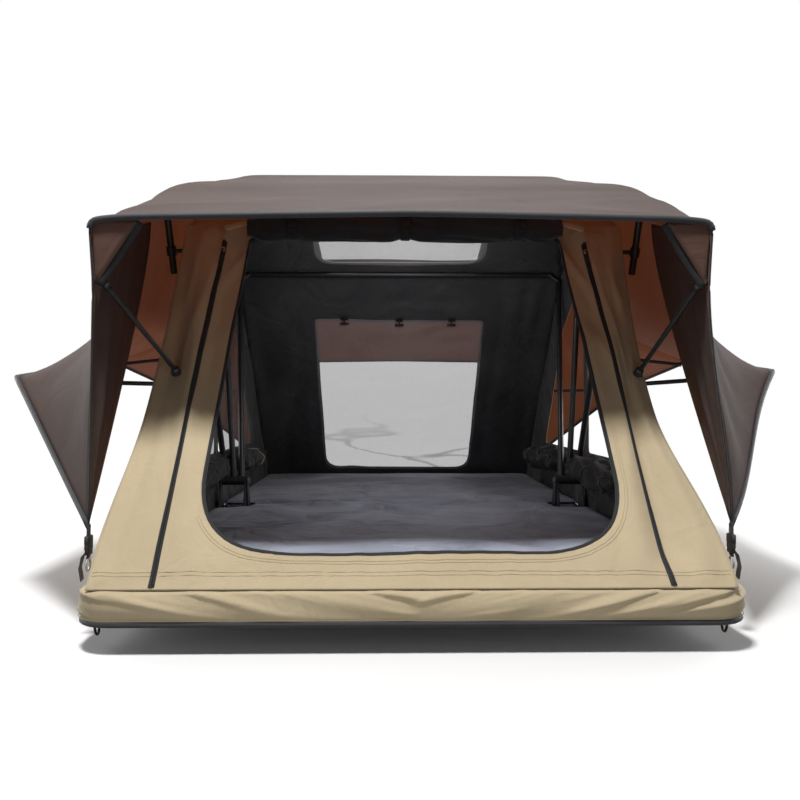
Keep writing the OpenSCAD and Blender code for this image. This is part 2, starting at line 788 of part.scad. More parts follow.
// Webbing loops that hold the rolled door
module door_roll_straps() {
    color("dimgray") on_front_wall() translate(roll_place) for (x = [-0.36, 0, 0.36] * door_w) difference() {
        bar([x - webbing_w / 2, 0, 0], [x + webbing_w / 2, 0, 0], roll_d + 2 * fit + 2 * webbing_t);
        bar([x - webbing_w, 0, 0], [x + webbing_w, 0, 0], roll_d + 2 * fit);
        translate([x - webbing_w, -roll_d, -roll_d - roll_d / 2 + 2])
            cube([2 * webbing_w, 2 * roll_d, roll_d]);
    }
}

module zip_tapes() {
    color("black") on_front_wall() both_sides()
        translate([zip_x - zip_w / 2, 2, body_t + fit]) cube([zip_w, zip_l, 2]);
}

module zip_slider() {
    color("dimgray") on_front_wall() translate([zip_x, slider_at, body_t + 2 + 2 * fit]) {
        translate([-6, -8, 0]) cube([12, 16, 5]);
        translate([-4, -40, 2]) cube([8, 36, 2.5]);
    }
}

module right_zip_slider() {
    zip_slider();
}

module left_zip_slider() {
    mirror([1, 0, 0]) zip_slider();
}

// Points across a half section of the fly sheet, from the hem to the middle
function half_section(row) = concat(
    [for (k = [0:3]) for (a = [0:span_steps - 1]) mix(row[k], row[k + 1], a / span_steps)], [row[4]]);
function full_section(row) = let (half = half_section(row), last = len(half) - 1)
    concat(half, [for (a = [1:last]) flip_x(half[last - a])]);

// The awnings hang in shallow folds between their hems and the knee
function sagged(section, swell) = let (last = len(section) - 1) [for (j = [0:last])
    let (u = min(j, last - j) / span_steps)
        section[j] - [0, 0, u > 0 && u < 1 ? fold_depth * sin(180 * u) * swell : 0]];
function fly_grid(rows) = let (last = len(rows) - 2) [for (i = [0:last])
    for (a = [0:i == last ? row_steps : row_steps - 1])
        sagged(full_section(mix(rows[i], rows[i + 1], a / row_steps)), sin(180 * a / row_steps))];
function grid_normal(g, i, j) = let (
    last_i = len(g) - 1,
    last_j = len(g[0]) - 1,
    along = g[min(i + 1, last_i)][j] - g[max(i - 1, 0)][j],
    across = g[i][min(j + 1, last_j)] - g[i][max(j - 1, 0)],
    out = cross(along, across))
    unit(abs(g[i][j][1]) > 2 * lay ? out : [out[0], 0, out[2]]);

// A sheet of thickness t under a grid of points
module sheet(g, t) {
    rows = len(g);
    n = len(g[0]);
    count = rows * n;
    top = [for (i = [0:rows - 1]) for (j = [0:n - 1]) g[i][j]];
    under = [for (i = [0:rows - 1]) for (j = [0:n - 1]) g[i][j] - t * grid_normal(g, i, j)];
    quads = [for (i = [0:rows - 2]) for (j = [0:n - 2]) i * n + j];
    rim = concat([for (j = [0:n - 2]) j], [for (i = [0:rows - 2]) i * n + n - 1],
        [for (j = [0:n - 2]) count - 1 - j], [for (i = [0:rows - 2]) (rows - 1 - i) * n]);
    polyhedron(concat(top, under), concat(
        [for (q = quads) [q, q + 1, q + n]], [for (q = quads) [q + 1, q + n + 1, q + n]],
        [for (q = quads) [count + q, count + q + n, count + q + 1]],
        [for (q = quads) [count + q + 1, count + q + n, count + q + n + 1]],
        [for (k = [0:len(rim) - 1]) [rim[k], count + rim[k], rim[(k + 1) % len(rim)]]],
        [for (k = [0:len(rim) - 1])
            [rim[(k + 1) % len(rim)], count + rim[k], count + rim[(k + 1) % len(rim)]]]));
}

module fly_front() {
    color("saddlebrown") sheet(fly_grid(front_rows), fly_t);
}

module fly_rear() {
    color("saddlebrown") sheet(fly_grid(rear_rows), fly_t);
}

// Piping along the edge, the corner seams and the hems of one half of the fly sheet
module fly_piping(edge, corner, ridge_row) {
    way = sign(edge[0][1]);
    hem_start = edge[0] + unit(corner[0] - edge[0]) * fly_piping_d;
    hem = [hem_start, corner[0], [ridge_row[0][0], way * fly_piping_d, ridge_row[0][2]]];
    tube(concat(edge, [for (i = [3:-1:0]) flip_x(edge[i])]), fly_piping_d, [0, 1, 0]);
    both_sides() tube(hem, fly_piping_d, [0, 0, 1]);
}

module fly_front_piping() {
    color("dimgray") fly_piping(fly_edge_row, fly_corner_row, fly_ridge_row);
}

module fly_rear_piping() {
    color("dimgray") fly_piping(fly_rear_row, fly_rear_corner_row, fly_ridge_row);
}

// Black bands that brace the inside of the fly sheet's front corners
module fly_corner_bands() {
    bend = fly_edge_row[1];
    start = bend - [fly_t + 8, -fly_t - 10, 0];
    finish = fly_edge_row[3] - [20, -40, fly_t + 14];
    color("black") both_sides() strap(start, finish, webbing_w, webbing_t);
}

socket_rise = (front_rod_z - skirt_top) / (front_top[1] - skirt_top);
front_socket = [socket_x, mix(wall_foot[0], front_top[0], socket_rise), front_rod_z];
wall_out = [0, -(front_top[1] - wall_foot[1]), front_top[0] - wall_foot[0]] / front_wall_l;
corner_rod = [front_socket + wall_out * (body_t + socket_h / 2),
    fly_edge_row[1] - [fly_t + rod_d + rod_clear, -fly_t - rod_d - rod_clear, 0]];
side_socket_x = body_half_w + body_t + fit;
mid_rod_y = (side_window_gap + lay) / 2;

// A rod from a side socket to the edge of the side awning
function side_rod(y, z, end_y) = [[side_socket_x + socket_h / 2, y, z],
    [awning_x - rod_d - 4, end_y,
        mix(awning_corner_z, awning_mid_z, 1 - abs(end_y) / awning_corner_y) - fly_t - rod_d / 2]];
front_side_rod = side_rod(-(awning_corner_y - 40), front_rod_z - 12, -(awning_corner_y - 6));
rear_side_rod = side_rod(awning_corner_y - 40, front_rod_z - 12, awning_corner_y - 6);
mid_side_rod = side_rod(mid_rod_y, mid_rod_z, mid_rod_y);

module side_socket(rod) {
    difference() {
        translate([side_socket_x, rod[0][1], rod[0][2]])
            rotate([0, 90, 0]) cylinder(d = socket_d, h = socket_h);
        bar(rod[0], rod[1], rod_d + 2 * fit);
    }
}

module corner_rods() {
    color("black") both_sides() bar(corner_rod[0], corner_rod[1], rod_d);
}

module side_rods_front() {
    color("black") both_sides() bar(front_side_rod[0], front_side_rod[1], rod_d);
}

module side_rods_rear() {
    color("black") both_sides() for (rod = [mid_side_rod, rear_side_rod]) bar(rod[0], rod[1], rod_d);
}

module rod_sockets_front() {
    color("black") both_sides() {
        side_socket(front_side_rod);
        difference() {
            bar(front_socket + wall_out * (body_t + fit),
                front_socket + wall_out * (body_t + socket_h), socket_d);
            bar(corner_rod[0], corner_rod[1], rod_d + 2 * fit);
        }
    }
}

module rod_sockets_rear() {
    color("black") both_sides() for (rod = [mid_side_rod, rear_side_rod]) side_socket(rod);
}

// Webbing from the tie points of the fly sheet down to the sides of the base
module tie_strap(tie) {
    strap([tie[0], tie[1], hook_z + 46], tie - [0, 0, fit], webbing_w, webbing_t);
}

module tie_buckle(tie) {
    translate([tie[0], tie[1], hook_z + 22]) difference() {
        translate([-5, -webbing_w / 2 - 4, 0]) cube([10, webbing_w + 8, buckle_h]);
        translate([-webbing_t / 2 - fit, -webbing_w / 2 - fit, buckle_h - 16])
            cube([webbing_t + 2 * fit, webbing_w + 2 * fit, buckle_h]);
    }
}

module tie_hook(tie) {
    translate([tie[0], tie[1], hook_z]) {
        translate([-3, -8, 10]) cube([6, 16, 12]);
        rotate([0, 0, 90]) rotate([90, 0, 0]) rotate_extrude() translate([10, 0]) circle(3);
    }
}

module tie_straps_front() {
    color("black") both_sides() tie_strap(fly_edge_row[0]);
}

module tie_straps_rear() {
    color("black") both_sides() tie_strap(fly_rear_row[0]);
}

module tie_buckles_front() {
    color("black") both_sides() tie_buckle(fly_edge_row[0]);
}

module tie_buckles_rear() {
    color("black") both_sides() tie_buckle(fly_rear_row[0]);
}

module tie_hooks_front() {
    color("black") both_sides() tie_hook(fly_edge_row[0]);
}

module tie_hooks_rear() {
    color("black") both_sides() tie_hook(fly_rear_row[0]);
}

tube_start = eye_d / 2 + 6;

// A bow: two legs, sloping corners and a straight top
module bow_tube(eye_x, reach, slope_w, slope_h, lean) {
    straight = reach - slope_h;
    left = [bow_point(-1, eye_x, bow_top_x, tube_start, straight, lean),
        bow_point(-1, eye_x, bow_top_x, straight, straight, lean),
        bow_point(-1, bow_top_x - slope_w, bow_top_x - slope_w, reach, straight, lean)];
    chain(concat(left, [for (i = [2:-1:0]) flip_x(left[i])]), bow_d);
}

// The sleeves on a bow's lower ends, each with an eye for the hinge pin
module bow_ends(eye_x, straight, lean) {
    both_sides() difference() {
        union() {
            translate([eye_x - eye_w / 2, 0, pivot_z]) rotate([0, 90, 0]) cylinder(d = eye_d, h = eye_w);
            bar(bow_point(1, eye_x, bow_top_x, 0, straight, lean),
                bow_point(1, eye_x, bow_top_x, sleeve_l, straight, lean), sleeve_d);
        }
        translate([eye_x - eye_w, 0, pivot_z])
            rotate([0, 90, 0]) cylinder(d = pin_d + 2 * run_fit, h = 2 * eye_w);
        bar(bow_point(1, eye_x, bow_top_x, tube_start - bow_d / 2 - fit, straight, lean),
            bow_point(1, eye_x, bow_top_x, sleeve_l + past, straight, lean), bow_d + 2 * run_fit);
    }
}

module front_bow_tube() {
    color("black") bow_tube(front_eye_x, front_len, corner_slope, corner_slope, -front_lean);
}

module front_bow_ends() {
    color("dimgray") bow_ends(front_eye_x, front_len - corner_slope, -front_lean);
}

module centre_bow_tube() {
    color("black") bow_tube(centre_eye_x, centre_len, shoulder_w, shoulder_h, 0);
}

module centre_bow_ends() {
    color("dimgray") bow_ends(centre_eye_x, centre_len - shoulder_h, 0);
}

module rear_bow_tube() {
    color("black") bow_tube(rear_eye_x, rear_len, corner_slope, corner_slope, rear_lean);
}

module rear_bow_ends() {
    color("dimgray") bow_ends(rear_eye_x, rear_len - corner_slope, rear_lean);
}

function awning_point(x, reach) = bow_point(1, x, x, reach, 1, -front_lean);

// The bow that carries the front awning, outside the tent body
module awning_bow_tube() {
    right = [awning_point(awning_bow_x, awning_bow_low),
        awning_point(awning_bow_x, awning_bow_len - 2 * corner_slope),
        awning_point(awning_bow_x - 2 * corner_slope, awning_bow_len)];
    color("black") chain(concat(right, [for (i = [2:-1:0]) flip_x(right[i])]), bow_d);
}

// Clips that join the awning bow's legs to the front bow
module awning_bow_clips() {
    straight = front_len - corner_slope;
    inner = bow_point(1, front_eye_x, bow_top_x, clip_at, straight, -front_lean);
    leg = [for (r = [clip_at - 2 * bow_d, clip_at + 2 * bow_d])
        bow_point(1, front_eye_x, bow_top_x, r, straight, -front_lean)];
    post = [for (r = [clip_at - 2 * bow_d, clip_at + 2 * bow_d]) awning_point(awning_bow_x, r)];
    grip = bow_d + 8;
    color("dimgray") both_sides() difference() {
        union() {
            bar(inner, awning_point(awning_bow_x, clip_at), clip_d);
            bar(awning_point(awning_bow_x, clip_at - clip_d),
                awning_point(awning_bow_x, clip_at + clip_d), grip);
        }
        bar(leg[0], leg[1], bow_d + 2 * run_fit);
        bar(post[0], post[1], bow_d + 2 * run_fit);
        bar(inner - [bow_d, 0, 0], inner, 2 * clip_d);
    }
}

rear_floor_panel();
rear_edge_frame();
mounting_rails();
rail_bolts();
rear_hinge_brackets();
rear_bracket_bolts();
hinge_pins();
rear_mattress();
rear_skirt();
rear_skirt_piping();
tent_body_rear();
rear_window_mesh();
skylight_mesh();
side_mesh_rear();
side_flaps_rear();
fly_rear();
fly_rear_piping();
side_rods_rear();
rod_sockets_rear();
tie_straps_rear();
tie_buckles_rear();
tie_hooks_rear();
front_floor_panel();
front_edge_frame();
front_hinge_brackets();
front_bracket_bolts();
front_mattress();
front_skirt();
front_skirt_piping();
corner_cords();
tent_body_front();
door_binding();
door_roll();
door_roll_straps();
zip_tapes();
side_mesh_front();
side_flaps_front();
fly_front();
fly_front_piping();
fly_corner_bands();
corner_rods();
side_rods_front();
rod_sockets_front();
tie_straps_front();
tie_buckles_front();
tie_hooks_front();
front_bow_tube();
front_bow_ends();
awning_bow_tube();
awning_bow_clips();
centre_bow_tube();
centre_bow_ends();
rear_bow_tube();
rear_bow_ends();
left_zip_slider();
right_zip_slider();
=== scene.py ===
import math

import bmesh
import bpy
import numpy as np
from mathutils import Matrix, Vector, noise


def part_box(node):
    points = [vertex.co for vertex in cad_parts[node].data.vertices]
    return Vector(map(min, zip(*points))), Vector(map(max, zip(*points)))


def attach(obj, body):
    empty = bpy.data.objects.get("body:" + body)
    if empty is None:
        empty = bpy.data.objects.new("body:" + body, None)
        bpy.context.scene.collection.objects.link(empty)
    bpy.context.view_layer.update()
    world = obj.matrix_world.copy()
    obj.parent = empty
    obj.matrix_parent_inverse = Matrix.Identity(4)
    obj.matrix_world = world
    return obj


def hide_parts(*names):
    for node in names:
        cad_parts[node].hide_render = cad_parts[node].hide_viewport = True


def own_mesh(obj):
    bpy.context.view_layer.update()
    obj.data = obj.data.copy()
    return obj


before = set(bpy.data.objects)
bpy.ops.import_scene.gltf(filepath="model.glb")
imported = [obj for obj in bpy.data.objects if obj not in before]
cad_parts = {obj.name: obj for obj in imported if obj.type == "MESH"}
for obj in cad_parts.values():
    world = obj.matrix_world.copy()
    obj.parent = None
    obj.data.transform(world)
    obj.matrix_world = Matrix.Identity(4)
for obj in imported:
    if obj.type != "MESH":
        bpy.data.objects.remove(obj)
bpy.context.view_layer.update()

# Looks of a fold-out roof top tent. Metres; the origin lies under the hinge line and the door faces -Y.
scene = bpy.context.scene
scene.view_settings.view_transform = "Standard"

# Driving sizes, shared with the part's source
BODY_X, SKIRT_X, BASE_END, SKIRT_TOP = 0.607, 0.625, 1.150, 0.107
FOOT_Y, RIDGE_X, RIDGE_Z, EAVE_Z = 1.147, 0.516, 1.1875, 1.0500
WALL_FOOT, FRONT_TOP = (-FOOT_Y, SKIRT_TOP), (-0.3759, 0.9473)
REAR_FOOT, REAR_TOP = (FOOT_Y, SKIRT_TOP), (0.3723, 0.9402)
DOOR_W, DOOR_LOW, DOOR_TOP, DOOR_R = 0.850, 0.075, 1.085, 0.190
ZIP_X, ZIP_L, SLIDER_AT = 0.486, 1.040, 1.000
ROLL_R, ROLL_AT, ROLL_OUT = 0.037, 1.080, 0.0405
FLY_END, HEM_X, WING_X, WING_Y = {"front": -1.037, "rear": 1.110}, 0.640, 0.935, 0.700
WING_Z, WING_RIDGE_Z = 0.515, 0.590
ROD_R, ROD_REACH = 0.0055, 0.920
# Windows: the rear one and the skylight are measured down from the top of the wall and from the ridge
SIDE_WINDOW = ((0.030, 0.290), (0.680, 0.290), (0.350, 0.720), (0.030, 0.880))
SIDE_WINDOW_R, WINDOW_R = (0.02, 0.03, 0.03, 0.02), (0.07, 0.07, 0.02, 0.02)
WINDOW_X, WINDOW_TOP, WINDOW_LOW = 0.325, 0.235, 1.075
SKYLIGHT_X, SKYLIGHT_TOP, SKYLIGHT_LOW = 0.30, 0.150, 0.395
# Thickness of the cloths, and how close canvas edges are sewn together
CANVAS_T, FLY_T, SKIRT_T, TAPE_T, BAND_T, WEB_T = 0.0025, 0.003, 0.002, 0.0012, 0.0016, 0.0012
CANVAS_MERGE = 0.0004
# How far the right-hand front corner of the fly sheet, its wing and the front wall's edges are drawn in
CORNER_DRAW, WING_DRAW, EDGE_DRAW_RIGHT, EDGE_DRAW_LEFT = 0.036, 0.045, 0.060, 0.024


def mix(a, b, u):
    """The value a share u of the way from a to b."""
    return a + (b - a) * u


def ease(low, high, v):
    """A smooth rise from 0 at low to 1 at high."""
    t = min(max((v - low) / (high - low), 0.0), 1.0)
    return t * t * (3 - 2 * t)


def ripple(x, y, z):
    """Slow waves, from about -1 to 1."""
    return noise.noise(Vector((x, y, z)))


def crease(x, y, z):
    """Sharp-backed folds: 1 on the crest of a fold, falling to 0."""
    return max(0.0, 1 - 3.2 * abs(ripple(x, y, z)))


def unit(v):
    return v / max(np.linalg.norm(v), 1e-12)


# Camera at the photograph's place
CAMERA_AT, CAMERA_TILT, CAMERA_TURN, CAMERA_LENS = (-0.052, -2.650, 0.455), 90.14, -0.99, 36.45


def add_camera():
    data = bpy.data.cameras.new("photo_camera")
    data.lens, data.sensor_width = CAMERA_LENS, 36.0
    camera = bpy.data.objects.new("photo_camera", data)
    camera.location = CAMERA_AT
    camera.rotation_euler = (math.radians(CAMERA_TILT), 0, math.radians(CAMERA_TURN))
    scene.collection.objects.link(camera)
    scene.camera = camera


add_camera()


# Shared shader effects
def shader_group(name, inputs, outputs):
    tree = bpy.data.node_groups.new(name, "ShaderNodeTree")
    for label, kind, value in inputs:
        tree.interface.new_socket(label, in_out="INPUT", socket_type=kind).default_value = value
    for label, kind in outputs:
        tree.interface.new_socket(label, in_out="OUTPUT", socket_type=kind)
    return tree, tree.nodes.new("NodeGroupInput"), tree.nodes.new("NodeGroupOutput")


def add(tree, kind, links=(), **settings):
    """A node with its settings; links are pairs of an input and the socket or value it takes."""
    made = tree.nodes.new(kind)
    for key, value in settings.items():
        setattr(made, key, value)
    for place, source in links:
        if isinstance(source, bpy.types.NodeSocket):
            tree.links.new(source, made.inputs[place])
        else:
            made.inputs[place].default_value = source
    return made


def math_node(tree, operation, a, b=0.5):
    return add(tree, "ShaderNodeMath", [(0, a), (1, b)], operation=operation).outputs[0]


def tone_mix(tree, factor, a, b):
    made = add(tree, "ShaderNodeMix", [(0, factor), (6, a), (7, b)], data_type="RGBA")
    return made.outputs[2]


def object_place(tree):
    return add(tree, "ShaderNodeTexCoord").outputs["Object"]


def mapped(tree, vector, scale, turn=(0, 0, 0)):
    return add(tree, "ShaderNodeMapping", [(0, vector), (2, turn), (3, scale)]).outputs[0]


def noise_field(tree, vector, **inputs):
    """Noise at a place; its other inputs go by their own names."""
    return add(tree, "ShaderNodeTexNoise", [("Vector", vector), *inputs.items()]).outputs[0]


def remap(tree, value, low, high, to_low=0.0, to_high=1.0, **settings):
    """A value carried from the range low to high into the range to_low to to_high."""
    links = [(0, value), (1, low), (2, high), (3, to_low), (4, to_high)]
    return add(tree, "ShaderNodeMapRange", links, **settings).outputs[0]


def bumped(tree, height, distance, strength, below=()):
    """Normals bent by a height; below may hold the normals of a coarser bump."""
    links = [("Height", height), ("Distance", distance), ("Strength", strength)]
    return add(tree, "ShaderNodeBump", links + [("Normal", normals) for normals in below]).outputs[0]


def make_weave_group():
    """Plain weave with slubs and mottling: a tone that varies and the height of the threads."""
    tree, given, put = shader_group(
        "woven_cloth",
        [("Tone", "NodeSocketColor", (1, 1, 1, 1)), ("Shade", "NodeSocketColor", (0, 0, 0, 1)),
         ("Threads", "NodeSocketFloat", 700.0), ("Mottle", "NodeSocketFloat", 5.0)],
        [("Color", "NodeSocketColor"), ("Height", "NodeSocketFloat")])
    uv = add(tree, "ShaderNodeUVMap", uv_map="cloth").outputs[0]
    parts = add(tree, "ShaderNodeSeparateXYZ", [(0, uv)])
    turns = math_node(tree, "MULTIPLY", given.outputs["Threads"], 2 * math.pi)
    phases = [math_node(tree, "MULTIPLY", part, turns) for part in parts.outputs[:2]]
    warp, weft = [math_node(tree, "SINE", phase) for phase in phases]
    threads = math_node(tree, "MULTIPLY_ADD", math_node(tree, "MULTIPLY", warp, weft), 0.5)
    slub = noise_field(tree, mapped(tree, uv, (35.0, 420.0, 1.0)), Scale=1.0, Detail=2.0)
    mottle = noise_field(tree, object_place(tree), Scale=given.outputs["Mottle"], Detail=6.0, Roughness=0.6)
    share = remap(tree, math_node(tree, "ADD", mottle, math_node(tree, "MULTIPLY", slub, 0.35)), 0.45, 0.95)
    tone = tone_mix(tree, share, given.outputs["Tone"], given.outputs["Shade"])
    height = math_node(tree, "ADD", threads, math_node(tree, "MULTIPLY", slub, 0.8))
    tree.links.new(tone, put.inputs["Color"])
    tree.links.new(height, put.inputs["Height"])
    return tree


def make_crease_group():
    """Small soft creases all over a cloth, as a height."""
    tree, given, put = shader_group("soft_creases", [("Scale", "NodeSocketFloat", 8.0)],
                                    [("Height", "NodeSocketFloat")])
    field = noise_field(tree, object_place(tree), Scale=given.outputs["Scale"], Detail=3.0, Distortion=0.9)
    fold = math_node(tree, "ABSOLUTE", math_node(tree, "SUBTRACT", field, 0.5))
    height = math_node(tree, "SMOOTH_MIN", math_node(tree, "MULTIPLY", fold, 6.0), 1.0)
    tree.links.new(height, put.inputs["Height"])
    return tree


def make_grain_group():
    """Fine drawn grain with handling marks for metal and plastic."""
    tree, given, put = shader_group(
        "drawn_grain",
        [("Tone", "NodeSocketColor", (1, 1, 1, 1)), ("Shade", "NodeSocketColor", (0, 0, 0, 1)),
         ("Scale", "NodeSocketFloat", 60.0), ("Smooth", "NodeSocketFloat", 0.3),
         ("Rough", "NodeSocketFloat", 0.5)],
        [("Color", "NodeSocketColor"), ("Roughness", "NodeSocketFloat"), ("Height", "NodeSocketFloat")])
    place = object_place(tree)
    fine = noise_field(tree, place, Scale=given.outputs["Scale"], Detail=8.0, Roughness=0.7)
    marks = noise_field(tree, place, Scale=9.0, Detail=4.0)
    share = remap(tree, math_node(tree, "ADD", fine, marks), 0.8, 1.25)
    tone = tone_mix(tree, share, given.outputs["Tone"], given.outputs["Shade"])
    rough = remap(tree, marks, 0.3, 0.7, given.outputs["Smooth"], given.outputs["Rough"])
    tree.links.new(tone, put.inputs["Color"])
    tree.links.new(rough, put.inputs["Roughness"])
    tree.links.new(fine, put.inputs["Height"])
    return tree


WEAVE, CREASES, GRAIN = make_weave_group(), make_crease_group(), make_grain_group()


# Finishes
def new_material(name):
    made = bpy.data.materials.new(name)
    made.use_nodes = True
    return made, made.node_tree, made.node_tree.nodes["Principled BSDF"]


def place_group(tree, group, **values):
    made = add(tree, "ShaderNodeGroup", node_tree=group)
    for label, value in values.items():
        made.inputs[label].default_value = (*value, 1) if isinstance(value, tuple) else value
    return made


def fill(shader, values):
    """Sets inputs of a shader by their names."""
    for label, value in values.items():
        shader.inputs[label].default_value = value


def cloth(name, tone, shade, rough=0.85, threads=650.0, creases=9.0, depth=0.002, sheen=0.15, alpha=1.0):
    """A woven cloth: tone and shade are linear colours, depth the height of its small creases."""
    made, tree, shader = new_material(name)
    weave = place_group(tree, WEAVE, Tone=tone, Shade=shade, Threads=threads, Mottle=4.0)
    folds = place_group(tree, CREASES, Scale=creases)
    low = bumped(tree, folds.outputs["Height"], depth, 0.6)
    fine = bumped(tree, weave.outputs["Height"], 0.0003, 0.5, [low])
    tree.links.new(weave.outputs["Color"], shader.inputs["Base Color"])
    tree.links.new(fine, shader.inputs["Normal"])
    fill(shader, {"Roughness": rough, "Sheen Weight": sheen, "Specular IOR Level": 0.25, "Alpha": alpha})
    return made


def lit_through(made, colour, share):
    """Lets a thin cloth pass light on, in its own colour."""
    tree = made.node_tree
    out, shader = tree.nodes["Material Output"], tree.nodes["Principled BSDF"]
    glow = add(tree, "ShaderNodeBsdfTranslucent", [("Color", (*colour, 1))])
    both = add(tree, "ShaderNodeMixShader", [(0, share), (1, shader.outputs[0]), (2, glow.outputs[0])])
    tree.links.new(both.outputs[0], out.inputs["Surface"])


def slack_net(name, source):
    """The rear window's net: as the other nets, with folds that gather and darken it towards its foot."""
    made = source.copy()
    made.name = name
    tree = made.node_tree
    place = object_place(tree)
    drawn = mapped(tree, place, (1.1, 1.0, 5.0), (0, 0.35, 0))
    folds = noise_field(tree, drawn, Scale=2.6, Detail=0.5)
    line = math_node(tree, "ABSOLUTE", math_node(tree, "SUBTRACT", folds, 0.5))
    sharp = remap(tree, line, 0.030, 0.0)
    height = add(tree, "ShaderNodeSeparateXYZ", [(0, place)]).outputs[2]
    foot = remap(tree, height, 0.42, 0.22)
    alpha = remap(tree, math_node(tree, "MULTIPLY", sharp, foot), 0.0, 1.0, 0.55, 0.78)
    tree.links.new(alpha, tree.nodes["Principled BSDF"].inputs["Alpha"])
    return made


def brushed_velour(name, light, dark):
    """Velour whose nap lies in brushed patches, painted into its colour as light and dark patches of sheen,
    with creases pressed into it.
    """
    made, tree, shader = new_material(name)
    place = object_place(tree)
    drawn = mapped(tree, place, (1.25, 1.0, 1.0), (0, 0, 0.5))
    # Painted sheen: the nap's brushed patches, made light and dark in the colour
    sheen_strokes = noise_field(tree, drawn, Scale=3.4, Detail=9.0, Roughness=0.62, Distortion=0.8)
    share = remap(tree, sheen_strokes, 0.36, 0.64)
    pile = noise_field(tree, place, Scale=420.0, Detail=3.0)
    folds = place_group(tree, CREASES, Scale=5.0)
    low = bumped(tree, folds.outputs["Height"], 0.010, 0.7)
    fine = bumped(tree, pile, 0.0006, 0.5, [low])
    tree.links.new(tone_mix(tree, share, (*dark, 1), (*light, 1)), shader.inputs["Base Color"])
    tree.links.new(fine, shader.inputs["Normal"])
    fill(shader, {"Roughness": 0.95, "Sheen Weight": 0.35, "Specular IOR Level": 0.2})
    return made


def hard(name, tone, shade, smooth, rough, metallic=0.0, scale=70.0):
    """Metal, plastic or board: smooth and rough are the ends of its range of roughness."""
    made, tree, shader = new_material(name)
    grain = place_group(tree, GRAIN, Tone=tone, Shade=shade, Scale=scale, Smooth=smooth, Rough=rough)
    normals = bumped(tree, grain.outputs["Height"], 0.0002, 0.3)
    tree.links.new(grain.outputs["Color"], shader.inputs["Base Color"])
    tree.links.new(grain.outputs["Roughness"], shader.inputs["Roughness"])
    tree.links.new(normals, shader.inputs["Normal"])
    fill(shader, {"Metallic": metallic})
    return made


KHAKI = cloth("khaki_canvas", (0.560, 0.460, 0.300), (0.480, 0.390, 0.248), depth=0.0012, creases=12.0)
LINING = cloth("black_lining", (0.095, 0.095, 0.098), (0.046, 0.046, 0.048), rough=0.40, depth=0.012,
               creases=4.0)
BLACK_CLOTH = cloth("black_canvas", (0.030, 0.031, 0.034), (0.015, 0.015, 0.017), depth=0.003)
FLY = cloth("taupe_fly", (0.104, 0.085, 0.077), (0.070, 0.057, 0.051), rough=0.75, creases=6.0, sheen=0.0)
# The inside face's orange brown is partly its own colour and partly painted glow of the light that passes
# through the fly
FLY_INSIDE = cloth("fly_inside_painted_glow", (0.150, 0.082, 0.062), (0.112, 0.060, 0.045), rough=0.6)
FLY_GLOW = (0.85, 0.44, 0.28)
lit_through(FLY, FLY_GLOW, 0.22)
lit_through(FLY_INSIDE, FLY_GLOW, 0.26)
WINDOW_FILM = cloth("clouded_window_film", (0.80, 0.80, 0.80), (0.70, 0.70, 0.71), rough=0.3, alpha=0.14)
PIPING = cloth("grey_piping", (0.048, 0.048, 0.054), (0.032, 0.032, 0.037), rough=0.55, threads=400.0,
               depth=0.0005)
WEBBING = cloth("black_webbing", (0.020, 0.020, 0.022), (0.010, 0.010, 0.011), rough=0.7, threads=350.0,
                depth=0.0004)
GREY_WEBBING = cloth("grey_webbing", (0.120, 0.120, 0.130), (0.080, 0.080, 0.088), threads=350.0,
                     depth=0.0004)
NET = cloth("insect_net", (0.500, 0.500, 0.510), (0.360, 0.360, 0.370), threads=500.0, depth=0.006,
            creases=4.0, alpha=0.54)
WINDOW_NET = slack_net("rear_window_net", NET)
DARK_NET = cloth("dark_insect_net", (0.170, 0.170, 0.176), (0.100, 0.100, 0.104), threads=500.0, depth=0.003,
                 alpha=0.62)
# The velour's light and dark tones are its painted sheen
VELOUR = brushed_velour("velour", (0.405, 0.435, 0.530), (0.190, 0.206, 0.260))
THREAD = cloth("khaki_thread", (0.520, 0.425, 0.275), (0.450, 0.365, 0.232), threads=900.0, depth=0.0002)
GREY_THREAD = cloth("grey_thread", (0.150, 0.150, 0.160), (0.100, 0.100, 0.105), threads=900.0, depth=0.0002)
CORD = cloth("black_cord", (0.016, 0.016, 0.017), (0.008, 0.008, 0.009), rough=0.6, threads=500.0,
             depth=0.0004)
BOARD = hard("floor_board", (0.350, 0.340, 0.320), (0.270, 0.265, 0.250), 0.45, 0.65, scale=40.0)
ALUMINIUM = hard("mill_aluminium", (0.720, 0.720, 0.730), (0.600, 0.600, 0.615), 0.28, 0.45, 1.0, scale=120.0)
BLACK_TUBE = hard("black_tube", (0.022, 0.022, 0.024), (0.014, 0.014, 0.015), 0.30, 0.45, scale=90.0)
BRACKET = hard("painted_bracket", (0.040, 0.040, 0.043), (0.026, 0.026, 0.028), 0.35, 0.55)
STEEL = hard("zinc_steel", (0.620, 0.610, 0.590), (0.480, 0.470, 0.455), 0.25, 0.42, 1.0)
PLASTIC = hard("black_plastic", (0.020, 0.020, 0.021), (0.012, 0.012, 0.013), 0.35, 0.50, scale=150.0)


# Patches of cloth, and pieces made of them
def grid_patch(rows, closed=False, flip=False, index=0):
    """A patch from rows of points, with its lengths in metres as its UV map."""
    rows = np.asarray(rows, float)
    if closed:
        rows = np.concatenate([rows, rows[:, :1]], axis=1)
    n, m = rows.shape[:2]
    across = np.linalg.norm(np.diff(rows, axis=1), axis=2).mean(0)
    along = np.linalg.norm(np.diff(rows, axis=0), axis=2).mean(1)
    u, v = np.concatenate([[0], np.cumsum(across)]), np.concatenate([[0], np.cumsum(along)])
    uv = np.stack(np.broadcast_arrays(u[None, :], v[:, None]), axis=2).reshape(-1, 2)
    q = (np.arange(n - 1)[:, None] * m + np.arange(m - 1)[None, :]).reshape(-1)
    quads = np.stack([q, q + 1, q + m + 1, q + m], axis=1)
    return rows.reshape(-1, 3), quads[:, ::-1] if flip else quads, uv, index


